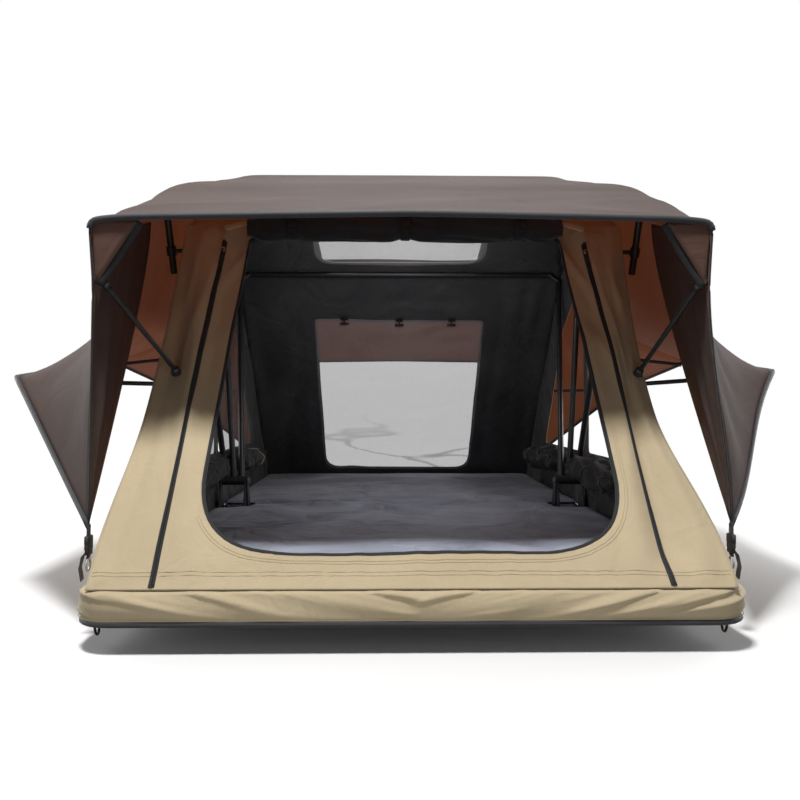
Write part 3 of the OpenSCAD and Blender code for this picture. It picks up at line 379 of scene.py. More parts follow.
def flat_patch(corners, flip):
    """A patch between four corners."""
    a, b, c, d = [np.array(p, float) for p in corners]
    halves = (0, 0.5, 1)
    return grid_patch([[mix(mix(a, b, u), mix(d, c, u), v) for u in halves] for v in halves], flip=flip)


def tube_patch(route, radius, sides=10, up=(0, 0, 1), index=0, squeeze=1.0):
    """A tube along a route; squeeze flattens it along the up direction into a strap."""
    route = [np.array(p, float) for p in route]
    rows = []
    for k, p in enumerate(route):
        t = unit(route[min(k + 1, len(route) - 1)] - route[max(k - 1, 0)])
        side = np.cross(t, np.array(up, float))
        side = unit(side if np.linalg.norm(side) > 1e-3 else np.cross(t, (1.0, 0.3, 0.2)))
        top = np.cross(side, t)
        r = radius(k / (len(route) - 1)) if callable(radius) else radius
        rows.append([p + r * (side * math.cos(a) + squeeze * top * math.sin(a))
                     for a in np.linspace(0, 2 * math.pi, sides, endpoint=False)])
    caps = [[np.mean(rows[0], axis=0)] * sides] + rows + [[np.mean(rows[-1], axis=0)] * sides]
    return grid_patch(caps, closed=True, index=index)


BLOCK_BEVEL = 0.18


def soft_corner(value):
    """Pushes a cosine or sine outwards, so that a ring of them is a square with rounded corners."""
    return math.copysign(abs(value) ** 0.45, value)


def box_patch(centre, size, axes):
    """A block with softened edges, as stacked rounded sections along its third axis."""
    x, y, z = [np.array(axis, float) * length / 2 for axis, length in zip(axes, size)]
    ring = [(soft_corner(math.cos(a)), soft_corner(math.sin(a)))
            for a in np.linspace(0, 2 * math.pi, 24, endpoint=False)]
    inner = 1 - BLOCK_BEVEL
    levels = [(-1, 0.0), (-1, inner), (-inner, 1), (inner, 1), (1, inner), (1, 0.0)]
    rows = [[np.array(centre, float) + x * s * a + y * s * b + z * h for a, b in ring] for h, s in levels]
    return grid_patch(rows, closed=True)


def mesh_object(name, patches, materials, merge, turn_out):
    """Joins patches into one mesh, whose faces are turned outwards where the patches don't see to that."""
    points, faces, uvs, slots, base = [], [], [], [], 0
    for verts, quads, uv, index in patches:
        points.append(verts)
        faces.extend((quads + base).tolist())
        uvs.append(uv)
        slots.extend(np.broadcast_to(index, len(quads)).tolist())
        base += len(verts)
    mesh = bpy.data.meshes.new(name)
    mesh.from_pydata(np.concatenate(points).tolist(), [], faces)
    layer = mesh.uv_layers.new(name="cloth")
    corners = np.zeros(len(mesh.loops), dtype=np.int32)
    mesh.loops.foreach_get("vertex_index", corners)
    layer.data.foreach_set("uv", np.concatenate(uvs)[corners].astype(np.float32).ravel())
    for material in materials:
        mesh.materials.append(material)
    mesh.polygons.foreach_set("material_index", slots)
    mesh.polygons.foreach_set("use_smooth", [True] * len(mesh.polygons))
    made = bpy.data.objects.new(name, mesh)
    scene.collection.objects.link(made)
    work = bmesh.new()
    work.from_mesh(mesh)
    bmesh.ops.dissolve_degenerate(work, dist=1e-7, edges=work.edges)
    bmesh.ops.remove_doubles(work, verts=work.verts, dist=merge)
    if turn_out:
        bmesh.ops.recalc_face_normals(work, faces=work.faces)
    work.to_mesh(mesh)
    work.free()
    return made


def bake(made):
    """Puts the piece's modifiers into its mesh."""
    bpy.context.view_layer.update()
    done = bpy.data.meshes.new_from_object(made.evaluated_get(bpy.context.evaluated_depsgraph_get()))
    made.modifiers.clear()
    made.data = done


def thicken(made, thickness):
    """Gives a sheet its thickness inwards, with the second material inside."""
    shell = made.modifiers.new("thickness", "SOLIDIFY")
    shell.thickness, shell.offset, shell.use_even_offset = thickness, -1.0, False
    shell.material_offset = 1 if len(made.data.materials) > 1 else 0
    bake(made)


def settle(made, body, nodes, folds):
    """Puts a piece on its body and hides the CAD nodes it stands for; with folds, the piece gets a mesh of
    its own.
    """
    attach(made, body)
    if nodes:
        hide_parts(*nodes)
    if folds:
        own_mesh(made)
    return made


def piece(name, patches, materials, body, nodes=(), folds=True, merge=1e-6, thickness=0.0):
    """A finished piece: nodes are the CAD nodes that it stands for, and a thickness makes a shell of it."""
    made = mesh_object(name, patches, materials, merge, turn_out=not thickness)
    if thickness:
        thicken(made, thickness)
    return settle(made, body, nodes, folds)


# Repeated small pieces along a line: their spacing, then their length along it, width and height
FLY_STITCH = (0.0065, (0.0042, 0.0011, 0.0010))
SKIRT_STITCH = (0.0070, (0.0042, 0.0012, 0.0012))
WALL_STITCH = (0.0055, (0.0038, 0.0009, 0.0006))
ZIP_TOOTH = (0.0036, (0.0021, 0.0044, 0.0022))


def make_repeat_tree():
    tree = bpy.data.node_groups.new("repeat_along", "GeometryNodeTree")
    tree.interface.new_socket("Line", in_out="INPUT", socket_type="NodeSocketGeometry")
    for label in ("Spacing", "Length", "Width", "Height"):
        tree.interface.new_socket(label, in_out="INPUT", socket_type="NodeSocketFloat")
    tree.interface.new_socket("Material", in_out="INPUT", socket_type="NodeSocketMaterial")
    tree.interface.new_socket("Pieces", in_out="OUTPUT", socket_type="NodeSocketGeometry")
    given, put = tree.nodes.new("NodeGroupInput"), tree.nodes.new("NodeGroupOutput")
    curve = add(tree, "GeometryNodeMeshToCurve", [("Mesh", given.outputs["Line"])])
    spaced = [("Curve", curve.outputs[0]), ("Length", given.outputs["Spacing"])]
    even = add(tree, "GeometryNodeResampleCurve", spaced, mode="LENGTH")
    sides = [(k, given.outputs[label]) for k, label in enumerate(("Length", "Width", "Height"))]
    size = add(tree, "ShaderNodeCombineXYZ", sides)
    block = add(tree, "GeometryNodeMeshCube", [("Size", size.outputs[0])])
    tangent = add(tree, "GeometryNodeInputTangent")
    turn = add(tree, "FunctionNodeAlignRotationToVector", [("Vector", tangent.outputs[0])], axis="X")
    placed = [("Points", even.outputs[0]), ("Instance", block.outputs["Mesh"]), ("Rotation", turn.outputs[0])]
    copies = add(tree, "GeometryNodeInstanceOnPoints", placed)
    real = add(tree, "GeometryNodeRealizeInstances", [(0, copies.outputs[0])])
    paint = add(tree, "GeometryNodeSetMaterial",
                [("Geometry", real.outputs[0]), ("Material", given.outputs["Material"])])
    tree.links.new(paint.outputs[0], put.inputs[0])
    return tree


REPEAT = make_repeat_tree()


def repeat_along(name, lines, spacing, size, material, body, slot, folds=True):
    """Small blocks along each line: size is length along the line, width and height."""
    points, edges = [], []
    for line in lines:
        edges += [(len(points) + k, len(points) + k + 1) for k in range(len(line) - 1)]
        points += [tuple(p) for p in line]
    mesh = bpy.data.meshes.new(name)
    mesh.from_pydata(points, edges, [])
    made = bpy.data.objects.new(name, mesh)
    scene.collection.objects.link(made)
    rows = made.modifiers.new("repeat", "NODES")
    rows.node_group = REPEAT
    named = {item.name: item.identifier for item in REPEAT.interface.items_tree if item.in_out == "INPUT"}
    for label, value in zip(("Spacing", "Length", "Width", "Height"), (spacing, *size)):
        rows[named[label]] = value
    rows[named["Material"]] = material
    bake(made)
    made.data.materials.clear()
    made.data.materials.append(material)
    if "cloth" not in made.data.uv_layers:
        made.data.uv_layers.new(name="cloth")
    settle(made, body, (), folds)


# Outlines with rounded corners, and the rings between them
def outline(corners, radii, per_corner=8, per_edge=40):
    """Points round a shape; two shapes with the same counts match, so that a ring joins them."""
    corners = [np.array(c, float) for c in corners]
    count = len(corners)
    cuts = []
    for k, c in enumerate(corners):
        before, after = corners[k - 1] - c, corners[(k + 1) % count] - c
        cuts.append((c + unit(before) * radii[k], c, c + unit(after) * radii[k]))
    loop = []
    for k in range(count):
        a, b, c = cuts[k]
        loop += [mix(mix(a, b, t), mix(b, c, t), t) for t in np.linspace(0, 1, per_corner + 1)]
        following = cuts[(k + 1) % count][0]
        loop += [mix(c, following, t) for t in np.linspace(0, 1, per_edge + 1)[1:-1]]
    return loop


def panel(low_half, low, top_half, top):
    """Corners of a panel that is the same on both sides, from its lower left one round."""
    return [(-low_half, low), (low_half, low), (top_half, top), (-top_half, top)]


def ring_patch(inner, outer, place, steps, flip=False):
    """The patch between two outlines, set in space by a function that gives places."""
    rows = [[place(*mix(a, b, t)) for a, b in zip(inner, outer)] for t in np.linspace(0, 1, steps + 1)]
    return grid_patch(rows, closed=True, flip=flip)


# Places on the sloping front and rear walls: across, up the slope and outwards
WALL_L = math.dist(WALL_FOOT, FRONT_TOP)
REAR_L = math.dist(REAR_FOOT, REAR_TOP)
WALL_UP = np.array([0, FRONT_TOP[0] - WALL_FOOT[0], FRONT_TOP[1] - WALL_FOOT[1]]) / WALL_L
WALL_OUT = np.array([0, -WALL_UP[2], WALL_UP[1]])
REAR_UP = np.array([0, REAR_TOP[0] - REAR_FOOT[0], REAR_TOP[1] - REAR_FOOT[1]]) / REAR_L
REAR_OUT = np.array([0, REAR_UP[2], -REAR_UP[1]])
STAND_OFF, NET_LAP = 0.003, 0.012


def slack_hold(x, s, length):
    """1 where a sloping wall's canvas hangs free, falling to 0 where it is sewn down."""
    return ease(0, 0.10, s) * ease(0, 0.06, length - s) * ease(0, 0.05, BODY_X - abs(x))


def wall_drape(x, s):
    """How far the front wall's canvas stands off its plane."""
    outer = ease(0.40, 0.50, abs(x))
    pucker = 0.0055 * ripple(x * 30, s * 5, 3.0) * ease(0.13, 0.02, s) * ease(0, 0.02, s)
    slack = 0.010 * ripple(x * 2.4, s * 1.7, 0.4) + 0.030 * ripple(x * 11.0, s * 0.8, 5.0) * outer
    pull = 0.016 * crease(abs(x) * 8.5 - s * 1.3, s * 0.9, 7.7) * outer
    drift = 0.006 * crease(x * 3.4 + s * 2.6, s * 1.8 - x, 17.7) * (1 - 0.7 * outer)
    upper = ease(0.28, 0.75, s) * ease(0.39, 0.46, abs(x)) * ease(0, 0.03, BODY_X - abs(x))
    gather = 0.012 * ripple(x * 17 + s * 1.5, s * 1.1, 61.0)
    gather += 0.008 * crease(abs(x) * 15 + s * 1.6, s * 2.2 - abs(x) * 3, 33.0)
    return STAND_OFF + slack_hold(x, s, WALL_L) * (slack + pull + drift) + pucker + gather * upper


def edge_draw(side, s):
    """How far the taut canvas draws the front wall's side edge in, part way up."""
    if not 0 < s < WALL_L:
        return 0.0
    most = EDGE_DRAW_RIGHT if side > 0 else EDGE_DRAW_LEFT
    return most * math.sin(math.pi * (s / WALL_L) ** 0.75) * ease(0.0, 0.44, s)


def on_wall(x, s, lift=0.0):
    """A place on the front wall: across, up the slope and off the cloth."""
    across = x - math.copysign(edge_draw(x, s) * ease(0.46, BODY_X, abs(x)), x)
    return np.array([across, *WALL_FOOT]) + WALL_UP * s + WALL_OUT * (wall_drape(x, s) + lift)


def rear_drape(x, s):
    """How far the rear wall's canvas stands off its plane."""
    slack = 0.006 * ripple(x * 2.4, s * 1.7, 20.4)
    gathers = 0.014 * ripple(x * 15, s * 0.9, 25.0) + 0.014 * crease(x * 10, s * 1.3, 44.0)
    drawn = 0.010 * crease(x * 2.2 + s * 2.0, s * 5.0 - x * 1.5, 52.0)
    around = ease(0.33, 0.40, abs(x))
    return STAND_OFF + slack_hold(x, s, REAR_L) * (slack + mix(drawn, gathers, around))


def on_rear(x, s, lift=0.0):
    """A place on the rear wall: across, up the slope and off the cloth."""
    return np.array([x, *REAR_FOOT]) + REAR_UP * s + REAR_OUT * (rear_drape(x, s) + lift)


def on_side(side, end):
    """Gives a side wall's places, from the distance to the hinge line and the height."""
    def place(y, z):
        hold = ease(0, 0.08, z - SKIRT_TOP) * ease(0, 0.06, y)
        slack = 0.005 * ripple(y * 3.0, z * 2.5, 31.0 + side + 2 * end)
        slack += 0.003 * ripple(y * 9, z * 3, 35.0 + end)
        drawn = 0.0
        if end < 0:
            rise = (z - WALL_FOOT[1]) / (FRONT_TOP[1] - WALL_FOOT[1])
            behind = mix(-WALL_FOOT[0], -FRONT_TOP[0], rise) - y
            drawn = edge_draw(side, rise * WALL_L) * ease(0.40, 0, behind)
        return np.array([side * (BODY_X - drawn + min(hold * slack, 0.006)), end * y, z])
    return place


# Tent body: walls round their openings, roof and nets
SEWN_CORNERS = (0.001,) * 4
DOOR = outline(panel(DOOR_W / 2, DOOR_LOW, DOOR_W / 2, DOOR_TOP), (DOOR_R, DOOR_R, 0.02, 0.02),
               per_edge=60, per_corner=14)
WALL_EDGE = outline(panel(BODY_X, 0, BODY_X, WALL_L), SEWN_CORNERS, per_edge=60, per_corner=14)
SIDE_OPENING = outline(SIDE_WINDOW, SIDE_WINDOW_R, per_edge=24)


def side_patches(end, top):
    """Side walls of one half with their window openings, and the shoulders above them."""
    made = []
    edge = [(0.0, SKIRT_TOP), (FOOT_Y, SKIRT_TOP), (abs(top[0]), top[1]), (0.0, EAVE_Z)]
    border = outline(edge, SEWN_CORNERS, per_edge=24)
    for side in (-1, 1):
        turned = side * end > 0
        made.append(ring_patch(SIDE_OPENING, border, on_side(side, end), 14, flip=turned))
        foot, ridge = np.array([side * BODY_X, *top]), np.array([side * RIDGE_X, 0, RIDGE_Z])
        eave = (side * BODY_X, 0, EAVE_Z)
        made.append(flat_patch([foot, eave, ridge, mix(foot, ridge, 0.5)], flip=turned))
    return made


def front_roof():
    rows = []
    for t in np.linspace(0, 1, 20):
        half, y, z = mix(BODY_X, RIDGE_X, t), mix(FRONT_TOP[0], 0, t), mix(FRONT_TOP[1], RIDGE_Z, t)
        sag = 0.006 * math.sin(math.pi * t)
        rows.append([(half * u, y, z - sag * (1 - u * u)) for u in np.linspace(-1, 1, 41)])
    return grid_patch(rows)


def rear_roof():
    """The rear roof round its skylight, with the skylight's outline and the places on the roof's slope."""
    length = math.hypot(REAR_TOP[0], RIDGE_Z - REAR_TOP[1])
    skylight = outline(panel(SKYLIGHT_X, length - SKYLIGHT_LOW, SKYLIGHT_X, length - SKYLIGHT_TOP), WINDOW_R,
                       per_edge=30)
    edge = outline(panel(BODY_X, 0, RIDGE_X, length), SEWN_CORNERS, per_edge=30)

    def place(x, s):
        return np.array([x, mix(REAR_TOP[0], 0, s / length), mix(REAR_TOP[1], RIDGE_Z, s / length)])
    return ring_patch(skylight, edge, place, 10), skylight, place


def build_tent_body():
    front = [ring_patch(DOOR, WALL_EDGE, on_wall, 26, flip=True), front_roof(), *side_patches(-1, FRONT_TOP)]
    piece("tent_canvas_front", front, [KHAKI, LINING], "front_base", ["tent_body_front"],
          merge=CANVAS_MERGE, thickness=CANVAS_T)
    window = outline(panel(WINDOW_X, REAR_L - WINDOW_LOW, WINDOW_X, REAR_L - WINDOW_TOP), WINDOW_R)
    edge = outline(panel(BODY_X, 0, BODY_X, REAR_L), SEWN_CORNERS)
    roof, skylight, on_roof = rear_roof()
    rear = [ring_patch(window, edge, on_rear, 16), roof, *side_patches(1, REAR_TOP)]
    piece("tent_canvas_rear", rear, [KHAKI, LINING], "rear_base", ["tent_body_rear"],
          merge=CANVAS_MERGE, thickness=CANVAS_T)
    middle = (0, REAR_L - (WINDOW_LOW + WINDOW_TOP) / 2)
    net_panel("rear_window_net", window, lambda x, s: on_rear(x, s, -0.004 - net_fold(x, s)), middle,
              "rear_base", "rear_window_mesh", WINDOW_NET, 44, flip=False)
    build_toggles(on_roof)
    net_panel("skylight_net", skylight, lambda x, s: on_roof(x, s) - (0, 0.002, 0.004),
              np.mean(skylight, axis=0), "rear_base", "skylight_mesh", NET, 12)
    for end, half in ((-1, "front"), (1, "rear")):
        net_panel(f"side_net_{half}", SIDE_OPENING, behind_side_wall(end), np.mean(SIDE_OPENING, axis=0),
                  f"{half}_base", f"side_mesh_{half}", DARK_NET, 40)


def net_fold(x, s):
    """Slack folds at the foot of the rear window's net."""
    down, past = REAR_L - s, 0.005
    inside = ease(0, 0.05, WINDOW_X + past - abs(x)) * ease(0, 0.05, WINDOW_LOW + past - down)
    fold = ease(0, 1, crease(x * 2.2 + s * 5.0, s * 7.0 - x * 3.2, 90.0))
    return 0.016 * inside * ease(0.60, 0.95, down) * fold


def behind_side_wall(end):
    """Gives the places of the left side net: inside the wall, in upright folds."""
    wall = on_side(-1, end)

    def place(y, z):
        fold = 0.016 * ripple(y * 16, z * 1.2, 71.0) * ease(0.0, 0.06, y) * ease(0.29, 0.40, z)
        return wall(y, z) + (0.008 + fold, 0, 0)
    return place


def net_panel(name, loop, place, middle, body, node, finish, rings, flip=True):
    """Insect net over an opening, lapped under its edge."""
    middle = np.array(middle, float)
    grown = [p + unit(p - middle) * NET_LAP for p in loop]
    start = [mix(middle, p, 0.0001) for p in grown]
    piece(name, [ring_patch(start, grown, place, rings, flip=flip)], [finish], body, [node])


# Toggles of the rear window and the skylight: how far across, down the wall and up the roof they hang
WINDOW_TOGGLE_X, WINDOW_TOGGLE_DOWN = (-0.215, 0.0, 0.205), 0.222
SKYLIGHT_TOGGLE_X, SKYLIGHT_TOGGLE_UP = (-0.24, -0.02, 0.22), 0.300
TOGGLE_DROP, TOGGLE_BARREL = 0.022, (-0.017, -0.013, 0.0, 0.013, 0.017)


def build_toggles(on_roof):
    """Toggles and their loops along the top edges of the rear window and the skylight."""
    patches = []
    tops = [(on_rear(x, REAR_L - WINDOW_TOGGLE_DOWN, -0.010), -REAR_UP) for x in WINDOW_TOGGLE_X]
    tops += [(on_roof(x, SKYLIGHT_TOGGLE_UP) - (0, 0.006, 0.012), np.array([0, 0.3, -0.95]))
             for x in SKYLIGHT_TOGGLE_X]
    for place, hang in tops:
        loop = [place - REAR_OUT * 0.006 * math.sin(a) + hang * TOGGLE_DROP * (1 - math.cos(a)) / 2
                for a in np.linspace(0, 2 * math.pi, 18)]
        patches.append(tube_patch(loop, 0.0022, 8, up=(1, 0, 0)))
        barrel = [place + hang * TOGGLE_DROP + (d, 0, 0) for d in TOGGLE_BARREL]
        patches.append(tube_patch(barrel, lambda t: 0.0042 + 0.0016 * math.sin(math.pi * t), 12, index=1))
        flat = ((1, 0, 0), tuple(hang), tuple(np.cross((1, 0, 0), hang)))
        patches.append(box_patch(place - hang * 0.004, (0.028, 0.018, 0.004), axes=flat))
    piece("window_toggles", patches, [WEBBING, PLASTIC], "rear_base")


# Fly sheet: sections from front to rear, each its Y and then hem, knee, eave, shoulder and middle as X and Z
FLY_FRONT = [
    (FLY_END["front"], (HEM_X, 0.209), (0.632, 0.689), (HEM_X, 0.815), (0.570, 0.822), (0, 0.832)),
    (-WING_Y, (WING_X, WING_Z), (0.692, 0.655), (0.670, 0.918), (0.610, 0.947), (0, 0.953)),
    (-0.4206, (WING_X, 0.545), (0.698, 0.670), (0.684, 1.0157), (0.616, 1.0537), (0, 1.0557)),
    (-0.0005, (WING_X, WING_RIDGE_Z), (0.696, 0.695), (0.623, 1.0655), (0.538, 1.196), (0, 1.197))]
FLY_REAR = [
    (0.0005, *FLY_FRONT[-1][1:]),
    (0.202, (WING_X, 0.568), (0.696, 0.683), (0.631, 1.0235), (0.619, 1.0725), (0, 1.0745)),
    (0.4014, (WING_X, 0.547), (0.696, 0.670), (0.627, 0.920), (0.593, 0.980), (0, 0.982)),
    (WING_Y, (WING_X, WING_Z), (0.688, 0.655), (0.648, 0.811), (0.580, 0.837), (0, 0.841)),
    (FLY_END["rear"], (HEM_X, 0.209), (0.632, 0.4295), (HEM_X, 0.632), (0.570, 0.642), (0, 0.650))]
# Steps across each stretch of a section, the awning bow's place, the clear panel over the skylight, and trims
FLY_SPANS = (16, 16, 8, 24)
AWNING_BOW_Y = -0.425
FILM_X, FILM_Y = 0.33, (0.08, 0.40)
BROW_R, HEM_R, SEAM_R, FILM_TRIM_R = 0.0068, 0.0045, 0.0022, 0.0090
# Where the panels inside the front corners reach on the right-hand side, and how far that side is drawn in
CURTAIN_BACK, CURTAIN_TOP, CURTAIN_IN = (0.684, -0.470, 0.790), (0.672, -0.500, 0.930), 0.016


def fly_section(y, *corners):
    """Points across a whole section, from the left hem over the top to the right hem."""
    row = np.array([(x, y, z) for x, z in corners], float)
    spans = [[mix(row[k], row[k + 1], a / n) for a in range(n)] for k, n in enumerate(FLY_SPANS)]
    half = np.concatenate(spans + [[row[4]]])
    return np.concatenate([half * (-1, 1, 1), half[::-1][1:]])


def smoothed(grid, times):
    """Rounds a grid of points off. Its hems stay in place, and its end rows are rounded along themselves."""
    grid = grid.copy()
    for _ in range(times):
        grid[:, 1:-1] = (grid[:, :-2] + 2 * grid[:, 1:-1] + grid[:, 2:]) / 4
        rows = (grid[:-2] + 2 * grid[1:-1] + grid[2:]) / 4
        rows[:, 0], rows[:, -1] = grid[1:-1, 0], grid[1:-1, -1]
        grid[1:-1] = rows
    return grid


def fly_grid(rows, steps):
    """Rows of points from section to section, in so many steps for each stretch."""
    sections = [fly_section(*row) for row in rows]
    grid = [mix(sections[k], sections[k + 1], a / n) for k, n in enumerate(steps) for a in range(n)]
    return np.array(grid + [sections[-1]])


def fly_shape(rows, steps, seed):
    """The fly sheet of one half: wings that sag in folds, slack sides, and a top with slow waves."""
    grid = smoothed(fly_grid(rows, steps), 5)
    last_i, last_j = len(grid) - 1, len(grid[0]) - 1
    wing, wall = FLY_SPANS[:2]
    for i in range(last_i + 1):
        inside = ease(0, 3, i) * ease(0, 3, last_i - i)
        off_edge = ease(0, 2, i) * ease(0, 2, last_i - i)
        for j in range(last_j + 1):
            p, step = grid[i, j], min(j, last_j - j)
            if step < wing:
                arch = math.sin(math.pi * step / wing)
                fold = 0.020 * ripple(p[1] * 7.5, step / wing * 1.2 + p[0], seed) * arch * off_edge
                p[2] -= 0.016 * arch * inside
                p[0] += math.copysign(fold, p[0])
            elif step < wing + wall:
                u = (step - wing) / wall
                swell = 0.010 * ripple(p[1] * 9 + u * 1.5, u * 1.1, seed + 4)
                swell += 0.006 * crease(p[1] * 4 - u * 2.2, u * 1.5, seed + 7)
                p[0] += math.copysign(swell * math.sin(math.pi * u) * inside, p[0])
            else:
                wave = 0.005 * ripple(p[0] * 3.2, p[1] * 3.2, seed)
                wave += 0.004 * crease(p[0] * 1.4 + p[1], p[1] * 3.4 - p[0], seed + 2)
                free = ease(0.02, 0.14, abs(p[1] - AWNING_BOW_Y))
                p[2] += inside * mix(0.005, wave - 0.004, free)
    return grid


def draw_in_corner(grid):
    """Pulls the right-hand front corner in above its tie, and the wing behind it."""
    for p in grid.reshape(-1, 3):
        share = ease(0.15, 0.60, p[0]) * ease(0.21, 0.68, p[2]) * ease(-0.62, FLY_END["front"], p[1])
        wing = ease(0.66, 0.93, p[0]) * ease(-0.05, -0.50, p[1])
        p[0] -= CORNER_DRAW * share + WING_DRAW * wing
        p[2] += WING_DRAW / 3 * wing
    return grid


def corner_curtains(grid):
    """Panels inside the front corners, from the corner seams back along the sides and up to the awning."""
    made = []
    count = FLY_SPANS[0] + FLY_SPANS[1] - 3
    for side in (-1, 1):
        seam = grid[0, :count] if side < 0 else grid[0, ::-1][:count]
        inward = (CURTAIN_IN if side > 0 else 0.0, 0, 0)
        back, top = [np.array(place) * (side, 1, 1) - inward for place in (CURTAIN_BACK, CURTAIN_TOP)]
        rows = []
        for k, p in enumerate(seam):
            t = k / (count - 1)
            far = mix(mix(seam[0], back, t), mix(back, top, t), t)
            row = []
            for u in np.linspace(0, 1, 30):
                hold = math.sin(math.pi * min(u * 1.15, 1)) * ease(0, 0.3, t) * ease(1, 0.80, t)
                sway = (side * 0.022 * ripple(u * 7 - t, t * 0.8, 60 + side), 0.006 * ripple(u * 5, t, 66), 0)
                row.append(mix(p, far, u) + np.array(sway) * hold)
            rows.append(row)
        made.append(grid_patch(rows, flip=(side > 0)))
    return made


def film_panel(grid):
    """First and last rows and columns of the clear panel above the skylight."""
    rows = [k for k in range(len(grid)) if FILM_Y[0] < grid[k, 0, 1] < FILM_Y[1]]
    middle = grid[rows[len(rows) // 2], :, 0]
    columns = [k for k in range(len(middle)) if abs(middle[k]) < FILM_X]
    return (rows[0], rows[-1]), (columns[0], columns[-1])


def film_border(grid):
    """The line round the clear panel, run on a little past its start to close it."""
    (top, low), (left, right) = film_panel(grid)
    loop = [*grid[top, left:right], *grid[top:low, right],
            *grid[low, left + 1:right + 1][::-1], *grid[top + 1:low + 1, left][::-1]]
    return loop + loop[:2]


def build_fly():
    front = draw_in_corner(fly_shape(FLY_FRONT, (22, 14, 18), 3.0))
    rear = fly_shape(FLY_REAR, (12, 12, 14, 18), 9.0)
    rows, columns = film_panel(rear)
    film = np.zeros((len(rear) - 1, len(rear[0]) - 1), int)
    film[slice(*rows), slice(*columns)] = 2
    sheets = {"front": [grid_patch(front), *corner_curtains(front)],
              "rear": [grid_patch(rear, index=film.ravel())]}
    for half, patches in sheets.items():
        piece(f"fly_sheet_{half}", patches, [FLY, FLY_INSIDE, WINDOW_FILM, WINDOW_FILM], f"{half}_base",
              [f"fly_{half}"], thickness=FLY_T)
    build_fly_trim("front", front, front[0], front[1])
    film_trim = tube_patch(film_border(rear), FILM_TRIM_R, squeeze=0.35)
    build_fly_trim("rear", rear, rear[-1], rear[-2], [film_trim])


def build_fly_trim(half, grid, edge, behind, more=()):
    """Piping on the brow and hems, webbing down the corner seams, and stitches behind the brow."""
    body = f"{half}_base"
    first = FLY_SPANS[0] + FLY_SPANS[1] - 2
    last = len(edge) - first
    trims = [tube_patch(edge[first:last], BROW_R)]
    trims += [tube_patch(grid[:, k] + (0, 0, -0.002), HEM_R, squeeze=1.6) for k in (0, -1)]
    trims += more
    trims += [tube_patch(seam, SEAM_R, sides=6, index=1) for seam in (edge[:first + 1], edge[last - 1:])]
    piece(f"fly_trim_{half}", trims, [PIPING, WEBBING], body, [f"fly_{half}_piping"])
    lines = [mix(edge, behind, d)[first:last] + (0, 0, 0.0008) for d in (0.55, 0.95)]
    repeat_along(f"fly_stitches_{half}", lines, *FLY_STITCH, GREY_THREAD, body, "fly_cloth")


# Skirt round the base
SKIRT_FOOT, SKIRT_R, SKIRT_STEP = 0.044, 0.060, 0.010
SKIRT_TRIM_R, SKIRT_TRIM_OUT, SKIRT_TRIM_Z = 0.0055, 0.004, 0.0455
SKIRT_SEAM_OUT, SKIRT_SEAM_Z = 0.0095, 0.0535
SKIRT_BELLY, SKIRT_TUCK = 0.011, 0.013


def skirt_plan(end):
    """Plan of the skirt of one half, from the right side at the hinge line round to the left side."""
    x, y = SKIRT_X - SKIRT_R, BASE_END - SKIRT_R
    arc = [(x + SKIRT_R * math.cos(a), y + SKIRT_R * math.sin(a)) for a in np.linspace(0, math.pi / 2, 14)]
    right = [(SKIRT_X, 0.002)] + arc
    line = right + [(-px, py) for px, py in right[::-1]]
    dense = []
    for a, b in zip(line, line[1:]):
        n = max(1, int(math.dist(a, b) / SKIRT_STEP))
        dense += [(mix(a[0], b[0], t / n), mix(a[1], b[1], t / n)) for t in range(n)]
    return np.array([(px, end * py) for px, py in dense + [line[-1]]])


def skirt_swell(x, s, t, end):
    """Folds and puckers of the skirt, at a distance s along it and a share t of its height."""
    lean = 0.26 if x > 0 else -0.26
    slant = s + lean * t
    fold = 0.006 * ripple(slant * 6, t * 1.1, 2.0 + end) * ease(0.0, 0.3, t)
    deep = ease(0, 1, crease(slant * 11, t * 0.8, 11.0 + end)) * ease(0.10, 0.65, t) * ease(1.03, 0.92, t)
    fine = ease(0, 1, crease(slant * 24, t, 51.0 + end)) * ease(0.5, 0.9, t) * ease(1.03, 0.95, t)
    return fold + 0.0065 * deep + 0.0025 * fine


def build_skirt(end, half):
    """The skirt of one half, with its piping and stitches."""
    body = f"{half}_base"
    plan = skirt_plan(end)
    tangents = np.gradient(plan, axis=0)
    normals = np.stack([tangents[:, 1], -tangents[:, 0]], axis=1) / np.linalg.norm(tangents, axis=1)[:, None]
    if np.dot(normals[len(plan) // 2], plan[len(plan) // 2]) < 0:
        normals = -normals
    run = np.concatenate([[0], np.cumsum(np.linalg.norm(np.diff(plan, axis=0), axis=1))])
    rows = []
    for t in np.linspace(0, 1, 22):
        z = mix(SKIRT_FOOT, SKIRT_TOP + 0.002, t)
        belly = SKIRT_BELLY * math.sin(math.pi * min(t * 1.08, 1.0)) ** 0.8
        tuck = SKIRT_TUCK * ease(0.90, 1.0, t)
        row = []
        for p, n, s in zip(plan, normals, run):
            ends = ease(0, 0.05, s) * ease(0, 0.05, run[-1] - s)
            row.append((*(p + n * (ends * skirt_swell(p[0], s, t, end) + belly * ends - tuck)), z))
        rows.append(row)
    piece(f"skirt_{body}", [grid_patch(rows, flip=(end < 0))], [KHAKI, LINING], body,
          [f"{half}_skirt"], folds=False, thickness=SKIRT_T)
    trim = [(*p, SKIRT_TRIM_Z) for p in plan + normals * SKIRT_TRIM_OUT]
    piece(f"skirt_trim_{body}", [tube_patch(trim[::2] + [trim[-1]], SKIRT_TRIM_R)], [PIPING], body,
          [f"{half}_skirt_piping"], folds=False)
    seam = [(*p, SKIRT_SEAM_Z) for p in plan + normals * SKIRT_SEAM_OUT][4:-4]
    repeat_along(f"skirt_stitches_{body}", [seam], *SKIRT_STITCH, THREAD, body, "khaki_cloth", folds=False)


